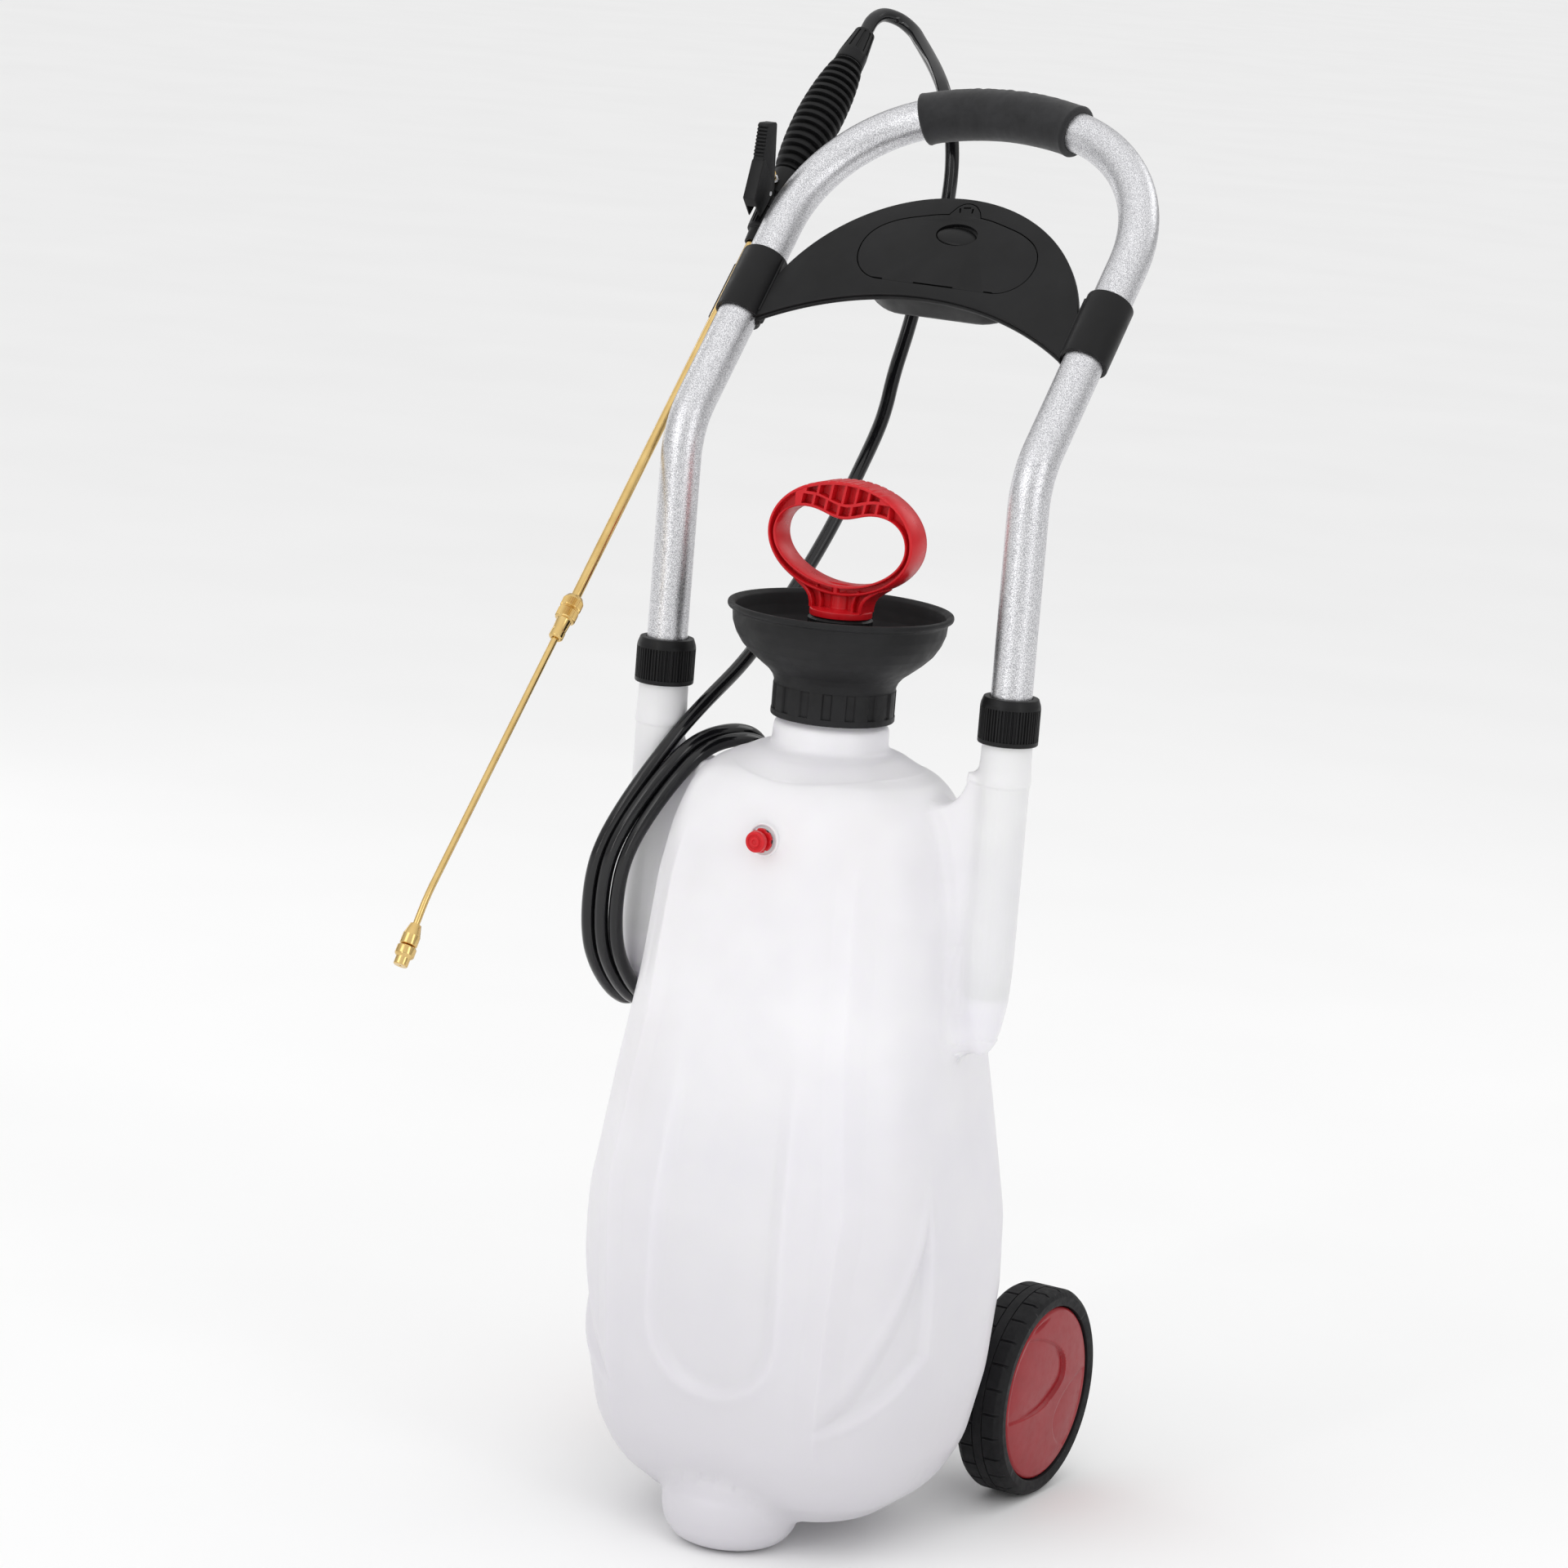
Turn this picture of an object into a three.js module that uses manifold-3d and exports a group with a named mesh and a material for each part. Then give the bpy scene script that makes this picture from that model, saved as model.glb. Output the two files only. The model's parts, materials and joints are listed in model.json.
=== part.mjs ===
// Wheeled garden sprayer cart: a blow-moulded tank on two wheels and a front foot, a pump in its
// filler neck, a sliding bent-tube handle with a tool tray, and a lance on a hose.
// Millimetres, +Z up, the front of the tank faces -Y, +X is the right-hand side seen from the front.
import * as THREE from 'three';
import { mergeVertices } from 'three/addons/utils/BufferGeometryUtils.js';
import Module from 'manifold-3d';

const wasm = await Module();
wasm.setup();

// ---------------------------------------------------------------- driving dimensions
const FOOT_SETBACK = 47;          // the origin is the foot's centre, this far in front of the neck axis
const GAP = 0.3;                  // clearance between touching pieces
const WALL = 4;                   // tank wall
const LEG_X = 120;                // half the spacing of the handle's legs
const TUBE_R = 12.5;              // handle tube
const TUBE_BORE_R = 11;
const SOCKET_R = 15.5;            // moulded sockets that the legs slide in
const SOCKET_TIP_Z = 322;
const SOCKET_FLOOR_Z = 360;
const SOCKET_TOP_Z = 533;
const NUT_R = 18.4;               // lock nuts
const NUT_Z0 = 515;
const NUT_Z1 = 543.6;
const LEG_END_Z = 452;            // lower end of the handle tube at rest
const BEND_CORNER_Z = 674.8;      // where the upright and the slanted lines of the legs meet
const BEND_R = 55;
const LEAN = THREE.MathUtils.degToRad(41);   // slant of the upper handle from the vertical
const CLAMP_Y = 88.7;             // top of the tray's clamp sleeves, the datum of the slanted plane
const CLAMP_Z = 776.9;
const LOOP_START = 24.5;          // where the loop's corners begin, along the slanted plane
const LOOP_CORNER_R = 100;
const LOOP_CROWN_R = 180;
const NECK_R = 35;
const NECK_BORE_R = 25;
const NECK_TOP_Z = 531;
const CAP_Z0 = 512.3;
const CAP_DECK_Z = 536;
const FUNNEL_RIM_Z = 580;
const AXLE_Y = 164;
const AXLE_Z = 67.5;
const AXLE_R = 5;
const WHEEL_R = 67.5;
const WHEEL_INNER_X = 76;
const WHEEL_WIDTH = 33;
const LANCE_X = -141;             // the gun and the lance hang outside the left leg
const LANCE_Y = 103;              // where the brass tube enters the gun
const LANCE_Z = 780.3;
const GUN_LEAN = THREE.MathUtils.degToRad(44);
const HOSE_R = 4.5;
const STROKE_BOTTOM_Z = 278;      // lower end of the pump rod at rest

// ---------------------------------------------------------------- materials
const surface = (color, roughness, metalness = 0) =>
  new THREE.MeshStandardMaterial({ color, roughness, metalness });
const MILKY = surface(0xeceaf0, 0.42);
const BLACK = surface(0x1c1c1e, 0.5);
const RUBBER = surface(0x121213, 0.8);
const RED = surface(0xb3121d, 0.38);
const ALUMINIUM = surface(0xc4c6ca, 0.45, 0.9);
const BRASS = surface(0xc9a45a, 0.3, 0.95);
const STEEL = surface(0xa9acb0, 0.35, 0.95);
const HOSE = surface(0x0e0e10, 0.25);

// ---------------------------------------------------------------- helpers
const cart = new THREE.Group();
cart.position.y = FOOT_SETBACK;

function add(name, geometry, material, parent = cart) {
  const mesh = new THREE.Mesh(geometry, material);
  mesh.name = name;
  parent.add(mesh);
  return mesh;
}

// A turned solid about +Z from a closed outline of [radius, height] points, in either direction.
function turned(profile, segments = 24) {
  const points = profile.map(([r, z]) => new THREE.Vector2(r, z));
  if (THREE.ShapeUtils.isClockWise(points)) points.reverse();
  points.push(points[0].clone());
  return new THREE.LatheGeometry(points, segments).rotateX(Math.PI / 2);
}

const tubeProfile = (inner, outer, z0, z1) => [[inner, z0], [outer, z0], [outer, z1], [inner, z1]];
const rod = (r, z0, z1, segments = 16) => new THREE.CylinderGeometry(r, r, z1 - z0, segments)
  .rotateX(Math.PI / 2).translate(0, 0, (z0 + z1) / 2);

// A flat outline in X and Z, given as a Shape, thickened along Y between y0 and y1.
function plate(shape, y0, y1, curveSegments = 6) {
  const options = { depth: y1 - y0, bevelEnabled: false, curveSegments };
  return new THREE.ExtrudeGeometry(shape, options).rotateX(Math.PI / 2).translate(0, y1, 0);
}
const outline = (points) => new THREE.Shape(points.map(([x, z]) => new THREE.Vector2(x, z)));
const brick = (x0, x1, y0, y1, z0, z1) => new THREE.BoxGeometry(x1 - x0, y1 - y0, z1 - z0)
  .translate((x0 + x1) / 2, (y0 + y1) / 2, (z0 + z1) / 2);

// A path given by stations: the extrusion takes one step from each station to the next.
class StationPath extends THREE.Curve {
  constructor(stations) {
    super();
    this.stations = stations;
  }
  getPoint(t) {
    const place = t * (this.stations.length - 1);
    const index = Math.min(Math.floor(place), this.stations.length - 2);
    return this.stations[index].clone().lerp(this.stations[index + 1], place - index);
  }
  getPointAt(u) {
    return this.getPoint(u);
  }
  getTangentAt(u) {
    return this.getTangent(u);
  }
}

function circle(radius, segments) {
  const points = [];
  for (let i = 0; i < segments; i++) {
    const angle = (2 * Math.PI * i) / segments;
    points.push(new THREE.Vector2(radius * Math.cos(angle), radius * Math.sin(angle)));
  }
  return points;
}

function pipe(stations, radius, segments, boreRadius = 0) {
  const section = new THREE.Shape(circle(radius, segments));
  if (boreRadius > 0) section.holes.push(new THREE.Path(circle(boreRadius, segments)));
  const extrudePath = new StationPath(stations);
  const steps = stations.length - 1;
  return new THREE.ExtrudeGeometry(section, { steps, extrudePath, bevelEnabled: false });
}

// Booleans
function toSolid(geometry) {
  const bare = geometry.clone();
  bare.deleteAttribute('normal');
  bare.deleteAttribute('uv');
  const welded = mergeVertices(bare, 1e-4);
  const vertProperties = new Float32Array(welded.attributes.position.array);
  const triVerts = new Uint32Array(welded.index.array);
  return new wasm.Manifold(new wasm.Mesh({ numProp: 3, vertProperties, triVerts }));
}

function toGeometry(solid) {
  const mesh = solid.getMesh();
  const geometry = new THREE.BufferGeometry();
  geometry.setAttribute('position', new THREE.BufferAttribute(mesh.vertProperties, 3));
  geometry.setIndex(new THREE.BufferAttribute(mesh.triVerts, 1));
  geometry.computeVertexNormals();
  return geometry;
}

function carve(keep, remove = []) {
  let solid = keep.map(toSolid).reduce((a, b) => a.add(b));
  for (const geometry of remove) solid = solid.subtract(toSolid(geometry));
  return toGeometry(solid);
}

// ---------------------------------------------------------------- tank body
// Rounded sections of the blow-moulded body: height, half width, half depth, centre y, squareness.
const BODY = [
  [22, 72, 62, 8, 2.6], [28, 85, 73, 8, 2.7], [42, 99, 84, 8, 2.8], [65, 111, 94, 8, 2.8],
  [110, 120, 102, 8, 2.8], [165, 124, 105, 8, 2.8], [210, 123, 105, 6, 2.8], [285, 112, 94, 3, 2.8],
  [350, 101, 84, 1, 2.8], [410, 96, 78, 0.5, 2.7], [442, 90, 73, 0, 2.6], [465, 83, 67, 0, 2.4],
  [480, 72, 59, 0, 2.3], [490, 56, 48, 0, 2.1], [498, 37, 36, 0, 2],
];

// Lofted solid through the sections, each pulled in by `inset`.
function loft(sections, inset, segments) {
  const positions = [];
  const index = [];
  for (const [z, halfX, halfY, centreY, power] of sections) {
    for (let i = 0; i < segments; i++) {
      const angle = (2 * Math.PI * i) / segments;
      const c = Math.cos(angle);
      const s = Math.sin(angle);
      const x = (halfX - inset) * Math.sign(c) * Math.abs(c) ** (2 / power);
      const y = (halfY - inset) * Math.sign(s) * Math.abs(s) ** (2 / power);
      positions.push(x, centreY + y, z);
    }
  }
  const rings = sections.length;
  for (let ring = 0; ring < rings - 1; ring++) {
    for (let i = 0; i < segments; i++) {
      const a = ring * segments + i;
      const b = ring * segments + ((i + 1) % segments);
      index.push(a, b, b + segments, a, b + segments, a + segments);
    }
  }
  const last = (rings - 1) * segments;
  for (let i = 1; i < segments - 1; i++) {
    index.push(0, i + 1, i, last, last + i, last + i + 1);
  }
  const geometry = new THREE.BufferGeometry();
  geometry.setAttribute('position', new THREE.Float32BufferAttribute(positions, 3));
  geometry.setIndex(index);
  return geometry;
}

const OUTLET = { x: -31, y: 60, bossTop: 481 };
const OUTLET_SEAT_R = 10.9;
const VALVE_Z = 446;
const VALVE_SEAT_Y = -73.5;

function makeTank() {
  const cavity = BODY.filter(([z]) => z > 22 && z < 485);
  const socketProfile = [[0, SOCKET_TIP_Z], [6, SOCKET_TIP_Z + 3], [11.5, SOCKET_TIP_Z + 14],
    [14.6, SOCKET_TIP_Z + 34], [SOCKET_R, SOCKET_TIP_Z + 58], [SOCKET_R, NUT_Z0 - 1],
    [SOCKET_R - 0.5, NUT_Z0], [SOCKET_R - 0.5, SOCKET_TOP_Z], [0, SOCKET_TOP_Z]];
  const web = outline([[70, 465], [80, 473], [87.5, 473.5], [95, 479], [102, 494], [110, 494],
    [118, 345], [113, 330], [100, 322], [80, 330]]);
  const foot = turned([[0, 0], [26, 0], [35, 4], [41, 12], [43.5, 23], [42, 34], [30, 46], [0, 46]], 24);
  const lug = outline([[60, 48], [150, 47], [168, 48.5], [179, 56], [182, 66], [178, 76], [166, 82],
    [110, 100], [60, 120]]);
  const keep = [loft(BODY, 0, 32), foot.translate(0, -FOOT_SETBACK, 0)];
  const remove = [loft(cavity, WALL, 20)];
  keep.push(turned([[0, 485], [NECK_R + 2, 485], [NECK_R, 499], [NECK_R, 509], [30, 510],
    [30, NECK_TOP_Z], [0, NECK_TOP_Z]], 24));
  remove.push(rod(NECK_BORE_R, 470, NECK_TOP_Z + 1, 20));
  for (const side of [-1, 1]) {
    keep.push(turned(socketProfile, 18).translate(side * LEG_X, 0, 0));
    const webPlate = plate(web, -6, 6);
    keep.push(side > 0 ? webPlate : webPlate.rotateZ(Math.PI));
    remove.push(rod(TUBE_R + 0.5, SOCKET_FLOOR_Z, SOCKET_TOP_Z + 1, 18).translate(side * LEG_X, 0, 0));
    const lugPlate = plate(lug, -8, 8).rotateZ(Math.PI / 2);
    keep.push(lugPlate.translate(side * 62, 0, 0));
  }
  remove.push(rod(AXLE_R + 0.2, -90, 90).rotateY(Math.PI / 2).translate(0, AXLE_Y, AXLE_Z));
  keep.push(rod(11, 440, OUTLET.bossTop).translate(OUTLET.x, OUTLET.y, 0));
  remove.push(rod(6.4, 400, OUTLET.bossTop + 1).translate(OUTLET.x, OUTLET.y, 0));
  remove.push(rod(OUTLET_SEAT_R, OUTLET.bossTop, NECK_TOP_Z).translate(OUTLET.x, OUTLET.y, 0));
  const bossAxis = (geometry) => geometry.rotateX(Math.PI / 2).translate(0, 0, VALVE_Z);
  keep.push(bossAxis(rod(10, 50, -VALVE_SEAT_Y, 20)));
  remove.push(bossAxis(rod(4.3, 40, 90, 16)));
  return carve(keep, remove);
}
add('tank_shell', makeTank(), MILKY);

// ---------------------------------------------------------------- lock nuts, collets, leg plugs
for (const [word, side] of [['left', -1], ['right', 1]]) {
  const nut = turned([[SOCKET_R + GAP, NUT_Z0 + GAP], [NUT_R, NUT_Z0 + GAP], [NUT_R, NUT_Z1],
    [TUBE_R + 0.5, NUT_Z1], [TUBE_R + 0.5, 539], [SOCKET_R + GAP, 539]], 20);
  add(`lock_nut_${word}`, nut, BLACK).position.x = side * LEG_X;
  const collet = turned([[TUBE_R + 0.5, 533.3], [15, 533.3], [14.3, 538.6], [TUBE_R + 0.5, 538.6]], 18);
  add(`lock_collet_${word}`, collet, BLACK).position.x = side * LEG_X;
  const plug = turned([[0, 448], [12.3, 448], [12.3, LEG_END_Z - GAP], [TUBE_BORE_R - GAP, LEG_END_Z - GAP],
    [TUBE_BORE_R - GAP, 470], [0, 470]], 12);
  add(`leg_plug_${word}`, plug, BLACK).position.x = side * LEG_X;
}

// ---------------------------------------------------------------- handle tube and grip
// A point of the slanted plane: x across, `along` up the slope, `off` out of its front face.
function slanted(x, along, off = 0) {
  const y = CLAMP_Y + along * Math.sin(LEAN) - off * Math.cos(LEAN);
  const z = CLAMP_Z + along * Math.cos(LEAN) + off * Math.sin(LEAN);
  return new THREE.Vector3(x, y, z);
}

const CROWN_HALF = Math.asin((LEG_X - LOOP_CORNER_R) / (LOOP_CROWN_R - LOOP_CORNER_R));
const CROWN_CENTRE = LOOP_START - (LOOP_CROWN_R - LOOP_CORNER_R) * Math.cos(CROWN_HALF);

// Right-hand half of the loop, from the straight leg to the middle of the crown.
function loopHalf() {
  const points = [];
  const cornerSteps = 5;
  for (let i = 0; i <= cornerSteps; i++) {
    const angle = ((Math.PI / 2 - CROWN_HALF) * i) / cornerSteps;
    const x = LEG_X - LOOP_CORNER_R + LOOP_CORNER_R * Math.cos(angle);
    points.push(slanted(x, LOOP_START + LOOP_CORNER_R * Math.sin(angle)));
  }
  for (const part of [0.5, 0]) {
    const angle = CROWN_HALF * part;
    points.push(slanted(LOOP_CROWN_R * Math.sin(angle), CROWN_CENTRE + LOOP_CROWN_R * Math.cos(angle)));
  }
  return points;
}

function legStations() {
  const points = [new THREE.Vector3(LEG_X, 0, LEG_END_Z)];
  const tangentLength = BEND_R * Math.tan(LEAN / 2);
  const bendSteps = 4;
  for (let i = 0; i <= bendSteps; i++) {
    const angle = (LEAN * i) / bendSteps;
    const y = BEND_R * (1 - Math.cos(angle));
    const z = BEND_CORNER_Z - tangentLength + BEND_R * Math.sin(angle);
    points.push(new THREE.Vector3(LEG_X, y, z));
  }
  return points;
}

function handleStations() {
  const right = [...legStations(), ...loopHalf()];
  const left = right.slice(0, -1).map((p) => new THREE.Vector3(-p.x, p.y, p.z)).reverse();
  return [...right, ...left];
}
add('handle_tube', pipe(handleStations(), TUBE_R, 14, TUBE_BORE_R), ALUMINIUM);

const GRIP_FROM_X = -60;
const GRIP_TO_X = 48;
function crownPoint(x) {
  const half = LOOP_CROWN_R * Math.sin(CROWN_HALF);
  if (Math.abs(x) <= half) return slanted(x, CROWN_CENTRE + Math.sqrt(LOOP_CROWN_R ** 2 - x * x));
  const reach = Math.abs(x) - (LEG_X - LOOP_CORNER_R);
  return slanted(x, LOOP_START + Math.sqrt(LOOP_CORNER_R ** 2 - reach ** 2));
}
const gripStations = [];
for (let i = 0; i <= 6; i++) gripStations.push(crownPoint(GRIP_FROM_X + ((GRIP_TO_X - GRIP_FROM_X) * i) / 6));
add('handle_grip', pipe(gripStations, 16.3, 14, 13.6), RUBBER);

// ---------------------------------------------------------------- tool tray between the legs
// Built flat (X across, Z along the slope, -Y out of the front face), then leaned back.
const tray = new THREE.Group();
tray.position.set(0, CLAMP_Y, CLAMP_Z);
tray.rotation.x = -LEAN;
cart.add(tray);

const SLEEVE_R = 15;
const SLEEVE_LENGTH = 49;
const PANEL_FRONT = -4;
const PANEL_BACK = 0;
const BOX_BACK = 24;
const LID_HALF = 61;
const LID_LOW = -10.5;
const LID_HIGH = 45;
const LATCH_X = [-8, 12];          // sides of the lid's latch tab
const TRAY_TOP = { centre: -53, r: 110.5 };    // arcs that bound the tray's crescent panel
const TRAY_LOW = { centre: -215, r: 195 };
const TRAY_HALF = 106;

function stadium(halfWidth, low, high) {
  const r = (high - low) / 2;
  const middle = (high + low) / 2;
  const shape = new THREE.Shape();
  shape.moveTo(-halfWidth + r, low);
  shape.lineTo(halfWidth - r, low);
  shape.absarc(halfWidth - r, middle, r, -Math.PI / 2, Math.PI / 2, false);
  shape.lineTo(-halfWidth + r, high);
  shape.absarc(-halfWidth + r, middle, r, Math.PI / 2, (3 * Math.PI) / 2, false);
  return shape;
}

function crescent() {
  const top = [];
  const low = [];
  for (let i = 0; i <= 10; i++) {
    const x = TRAY_HALF * (i / 5 - 1);
    top.push([x, TRAY_TOP.centre + Math.sqrt(TRAY_TOP.r ** 2 - x * x)]);
    low.push([-x, TRAY_LOW.centre + Math.sqrt(TRAY_LOW.r ** 2 - x * x)]);
  }
  return outline([...top, ...low]);
}

function makeTray() {
  const keep = [plate(crescent(), PANEL_FRONT, PANEL_BACK), plate(stadium(66, -17.5, 52), -2, BOX_BACK, 8)];
  const remove = [plate(stadium(LID_HALF + GAP, LID_LOW - GAP, LID_HIGH + GAP), -10, BOX_BACK - 2.5, 8)];
  remove.push(brick(LATCH_X[0] - 0.5, LATCH_X[1] + 0.5, -10, -1.2, 40, 54));
  for (const side of [-1, 1]) {
    keep.push(rod(SLEEVE_R, -SLEEVE_LENGTH, 0, 18).translate(side * LEG_X, 0, 0));
    keep.push(brick(side * 112 - 6, side * 112 + 6, -3, 7, -SLEEVE_LENGTH, -6));
    remove.push(rod(TUBE_R + 0.5, -60, 10, 18).translate(side * LEG_X, 0, 0));
  }
  return carve(keep, remove);
}
add('tool_tray', makeTray(), BLACK, tray);

function makeLid() {
  const panel = plate(stadium(LID_HALF, LID_LOW, LID_HIGH), -4, -1.5, 8);
  const keep = [panel, brick(...LATCH_X, -4, -1.5, 40, 53.5)];
  const remove = [new THREE.SphereGeometry(20, 16, 8).scale(0.65, 0.35, 0.38).translate(2.3, -7, 29.5)];
  return carve(keep, remove);
}
add('tray_lid', makeLid(), BLACK, tray);

// Round-headed screws that pinch each clamp sleeve onto its leg, from behind.
for (const [word, side] of [['left', -1], ['right', 1]]) {
  const screw = turned([[0, GAP], [4, GAP], [4, 2], [2.5, 3.3], [0, 3.3]], 12).rotateX(-Math.PI / 2);
  add(`clamp_screw_${word}`, screw.translate(side * 98, 0, -20), STEEL, tray);
}

// Clip on the outside of the left clamp sleeve: the lance lies between its leaf and the sleeve.
const clipBase = brick(-147.5, -128.8, 12.4, 15, -46, -2);
add('lance_clip', carve([clipBase, brick(-147.5, -145, 10.5, 15, -46, -2)]), BLACK, tray);

// ---------------------------------------------------------------- pump and funnel cap
add('funnel_cap', turned([[31, CAP_Z0], [37.6, CAP_Z0], [37.6, 534], [39, 537.5], [46.7, 544.5],
  [61, 558.5], [65.6, 570], [69, 577], [69, FUNNEL_RIM_Z], [66.5, FUNNEL_RIM_Z], [62.6, 570],
  [58, 560.5], [44, 548], [20.6, 544], [20.6, CAP_DECK_Z], [31, CAP_DECK_Z]], 24), BLACK);
add('cap_gasket', turned(tubeProfile(25.5, 29.7, NECK_TOP_Z + 0.2, NECK_TOP_Z + 2), 20), RUBBER);
add('pump_cylinder', turned([[4, 255], [19.5, 255], [19.5, 533.2], [30, 533.2], [30, 535.6], [17.6, 535.6],
  [17.6, 258], [4, 258]], 20), BLACK);
add('pump_guide', turned([[6.3, 518], [17.3, 518], [17.3, 536], [20.1, 536], [20.1, 573], [18.5, 574.4],
  [6.3, 574.4]], 20), BLACK);
const valveOutline = [[0, 249], [11, 249.5], [12, 251.5], [3.7, 254.7], [3.7, 260], [0, 260]];
add('inlet_valve', turned(valveOutline, 16), RUBBER);
add('pump_rod', rod(6, STROKE_BOTTOM_Z + 4, 590), STEEL);
add('pump_piston', turned([[6.2, 283], [17, 283], [17, 286], [13, 286.3], [13, 293.7], [17, 294], [17, 297],
  [6.2, 297]], 20), BLACK);
add('piston_cup', turned([[13.2, 286.4], [17.3, 286.4], [17.3, 293.6], [13.2, 293.6]], 20), RUBBER);
add('rod_screw', turned([[0, STROKE_BOTTOM_Z], [9, STROKE_BOTTOM_Z], [9, 281.6], [0, 281.6]], 12), STEEL);

const RING_MIDDLE_Z = 622.6;
function makePumpHandle() {
  const outer = new THREE.Shape();
  outer.absellipse(0, RING_MIDDLE_Z, 50, 34.6, 0, 2 * Math.PI, false, 0);
  const hole = new THREE.Shape();
  hole.moveTo(0, 634.4);
  hole.bezierCurveTo(8, 634.4, 14, 639, 24, 639);
  hole.bezierCurveTo(36, 639, 44.5, 632, 44.5, 621.5);
  hole.bezierCurveTo(44.5, 606, 22, 594, 0, 594);
  hole.bezierCurveTo(-22, 594, -44.5, 606, -44.5, 621.5);
  hole.bezierCurveTo(-44.5, 632, -36, 639, -24, 639);
  hole.bezierCurveTo(-14, 639, -8, 634.4, 0, 634.4);
  const keep = [plate(outer, -10, 10, 14),
    turned([[0, 574.8], [19.2, 574.8], [19.2, 579], [12, 580], [12, 590], [0, 590]], 20)];
  const remove = [plate(hole, -11, 11, 5), rod(6.3, 570, 590.3)];
  for (const face of [-1, 1]) {
    for (let i = -3; i <= 2; i++) {
      const x = (i + 0.5) * 9;
      remove.push(brick(x - 3.4, x + 3.4, face * 7 - 4, face * 7 + 4, 644.5, 654.5 - Math.abs(x) * 0.16));
    }
  }
  return carve(keep, remove);
}
add('pump_handle', makePumpHandle(), RED);

// ---------------------------------------------------------------- relief valve on the front
const valve = new THREE.Group();
valve.position.set(0, VALVE_SEAT_Y, VALVE_Z);
valve.rotation.x = Math.PI / 2;   // local +Z points out of the tank's front
cart.add(valve);
add('relief_seal', turned(tubeProfile(4.4, 6.6, 0.2, 1.4), 16), RUBBER, valve);
const reliefOutline = [[2.3, -12], [4, -12], [4, 1.7], [7, 1.7], [7, 4], [3.9, 4], [3.9, -5], [2.3, -5]];
add('relief_body', turned(reliefOutline, 16),
  RED, valve);
add('relief_spring', turned(tubeProfile(2.4, 3.2, -4.7, 3.7), 12), STEEL, valve);
add('relief_knob', turned([[0, -14], [1.9, -14], [1.9, 4.3], [6.4, 4.3], [6.4, 10], [5.4, 11], [0, 11]], 16),
  RED, valve);

// ---------------------------------------------------------------- outlet and dip tube
const outlet = new THREE.Group();
outlet.position.set(OUTLET.x, OUTLET.y, OUTLET.bossTop);
cart.add(outlet);
const ELBOW_Z = 11.6;
add('outlet_gasket', turned(tubeProfile(6.3, 10, 0.2, 1.5), 16), RUBBER, outlet);
function makeElbow() {
  const spigot = rod(4, 0, 16, 12).rotateY(-Math.PI / 2).translate(0, 0, ELBOW_Z);
  const post = turned([[0, -14], [6, -14], [6, 1.8], [9, 1.8], [9, 4], [6, 5], [6, 15.6], [0, 15.6]], 16);
  const sideBore = rod(2.2, 0, 30, 10).rotateY(-Math.PI / 2).translate(0, 0, ELBOW_Z);
  const bores = [rod(3, -20, ELBOW_Z, 10), sideBore];
  return carve([post, spigot], bores);
}
add('outlet_elbow', makeElbow(), BLACK, outlet);
const outletNut = turned(tubeProfile(4.4, 6.6, 7, 15.7), 12).rotateY(-Math.PI / 2);
add('outlet_nut', outletNut.translate(0, 0, ELBOW_Z), BLACK, outlet);
add('dip_tube', turned(tubeProfile(3.2, 5, -433, -14.4), 12), HOSE, outlet);
add('suction_filter', turned([[5.2, -429], [7, -429], [9, -433.3], [9, -445], [0, -445], [0, -443], [7, -443],
  [7, -433.3], [5.2, -433.3]], 16), BLACK, outlet);

// ---------------------------------------------------------------- hose
const vectors = (points) => points.map(([x, y, z]) => new THREE.Vector3(x, y, z));
// Hose from the coil on the tank's left saddle up to the top of the spray gun.
const HOSE_ROUTE = vectors([[-99, -9, 500], [-95.5, 7, 505.5], [-93, 28, 515], [-88, 50, 533], [-79, 86, 574],
  [-72, 110, 608], [-67, 130, 641], [-65, 154, 676], [-66, 167, 704], [-66, 179, 728], [-65, 188, 752],
  [-60, 191, 775], [-54, 194.5, 805], [-53, 196.5, 830], [-55.5, 199, 848.5], [-61, 203, 865.5],
  [-71.4, 212.2, 880.6], [-84.1, 225.3, 890.5], [-98.7, 240.2, 899], [-113.6, 253.3, 908],
  [-124.2, 259.7, 915.2], [-132.2, 258.8, 920], [-138.2, 252, 922.6], [-141, 243.5, 921.6],
  [-141, 235.6, 917.2], [-141, 229.5, 911.3]]);
const LEAD_ROUTE = vectors([[-47.5, 60, 492.6], [-54, 59.5, 492], [-60, 58.5, 490.5]]);
// Closed middle line of the coil that hangs over the web between the tank and the left socket.
const COIL_ROUTE = vectors([[-85, 0, 488.5], [-79, 20, 488], [-72, 36, 487.5], [-70, 54, 479], [-82, 70, 440],
  [-106, 64, 375], [-124, 14, 311], [-127, -32, 346], [-122, -42, 405], [-104, -30, 453], [-91, -13, 479]]);

const hosePipe = (route, steps) =>
  pipe(new THREE.CatmullRomCurve3(route, false, 'centripetal').getSpacedPoints(steps), HOSE_R, 8);
add('supply_hose', hosePipe(HOSE_ROUTE, 46), HOSE);
add('hose_lead', hosePipe(LEAD_ROUTE, 6), HOSE);

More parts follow.
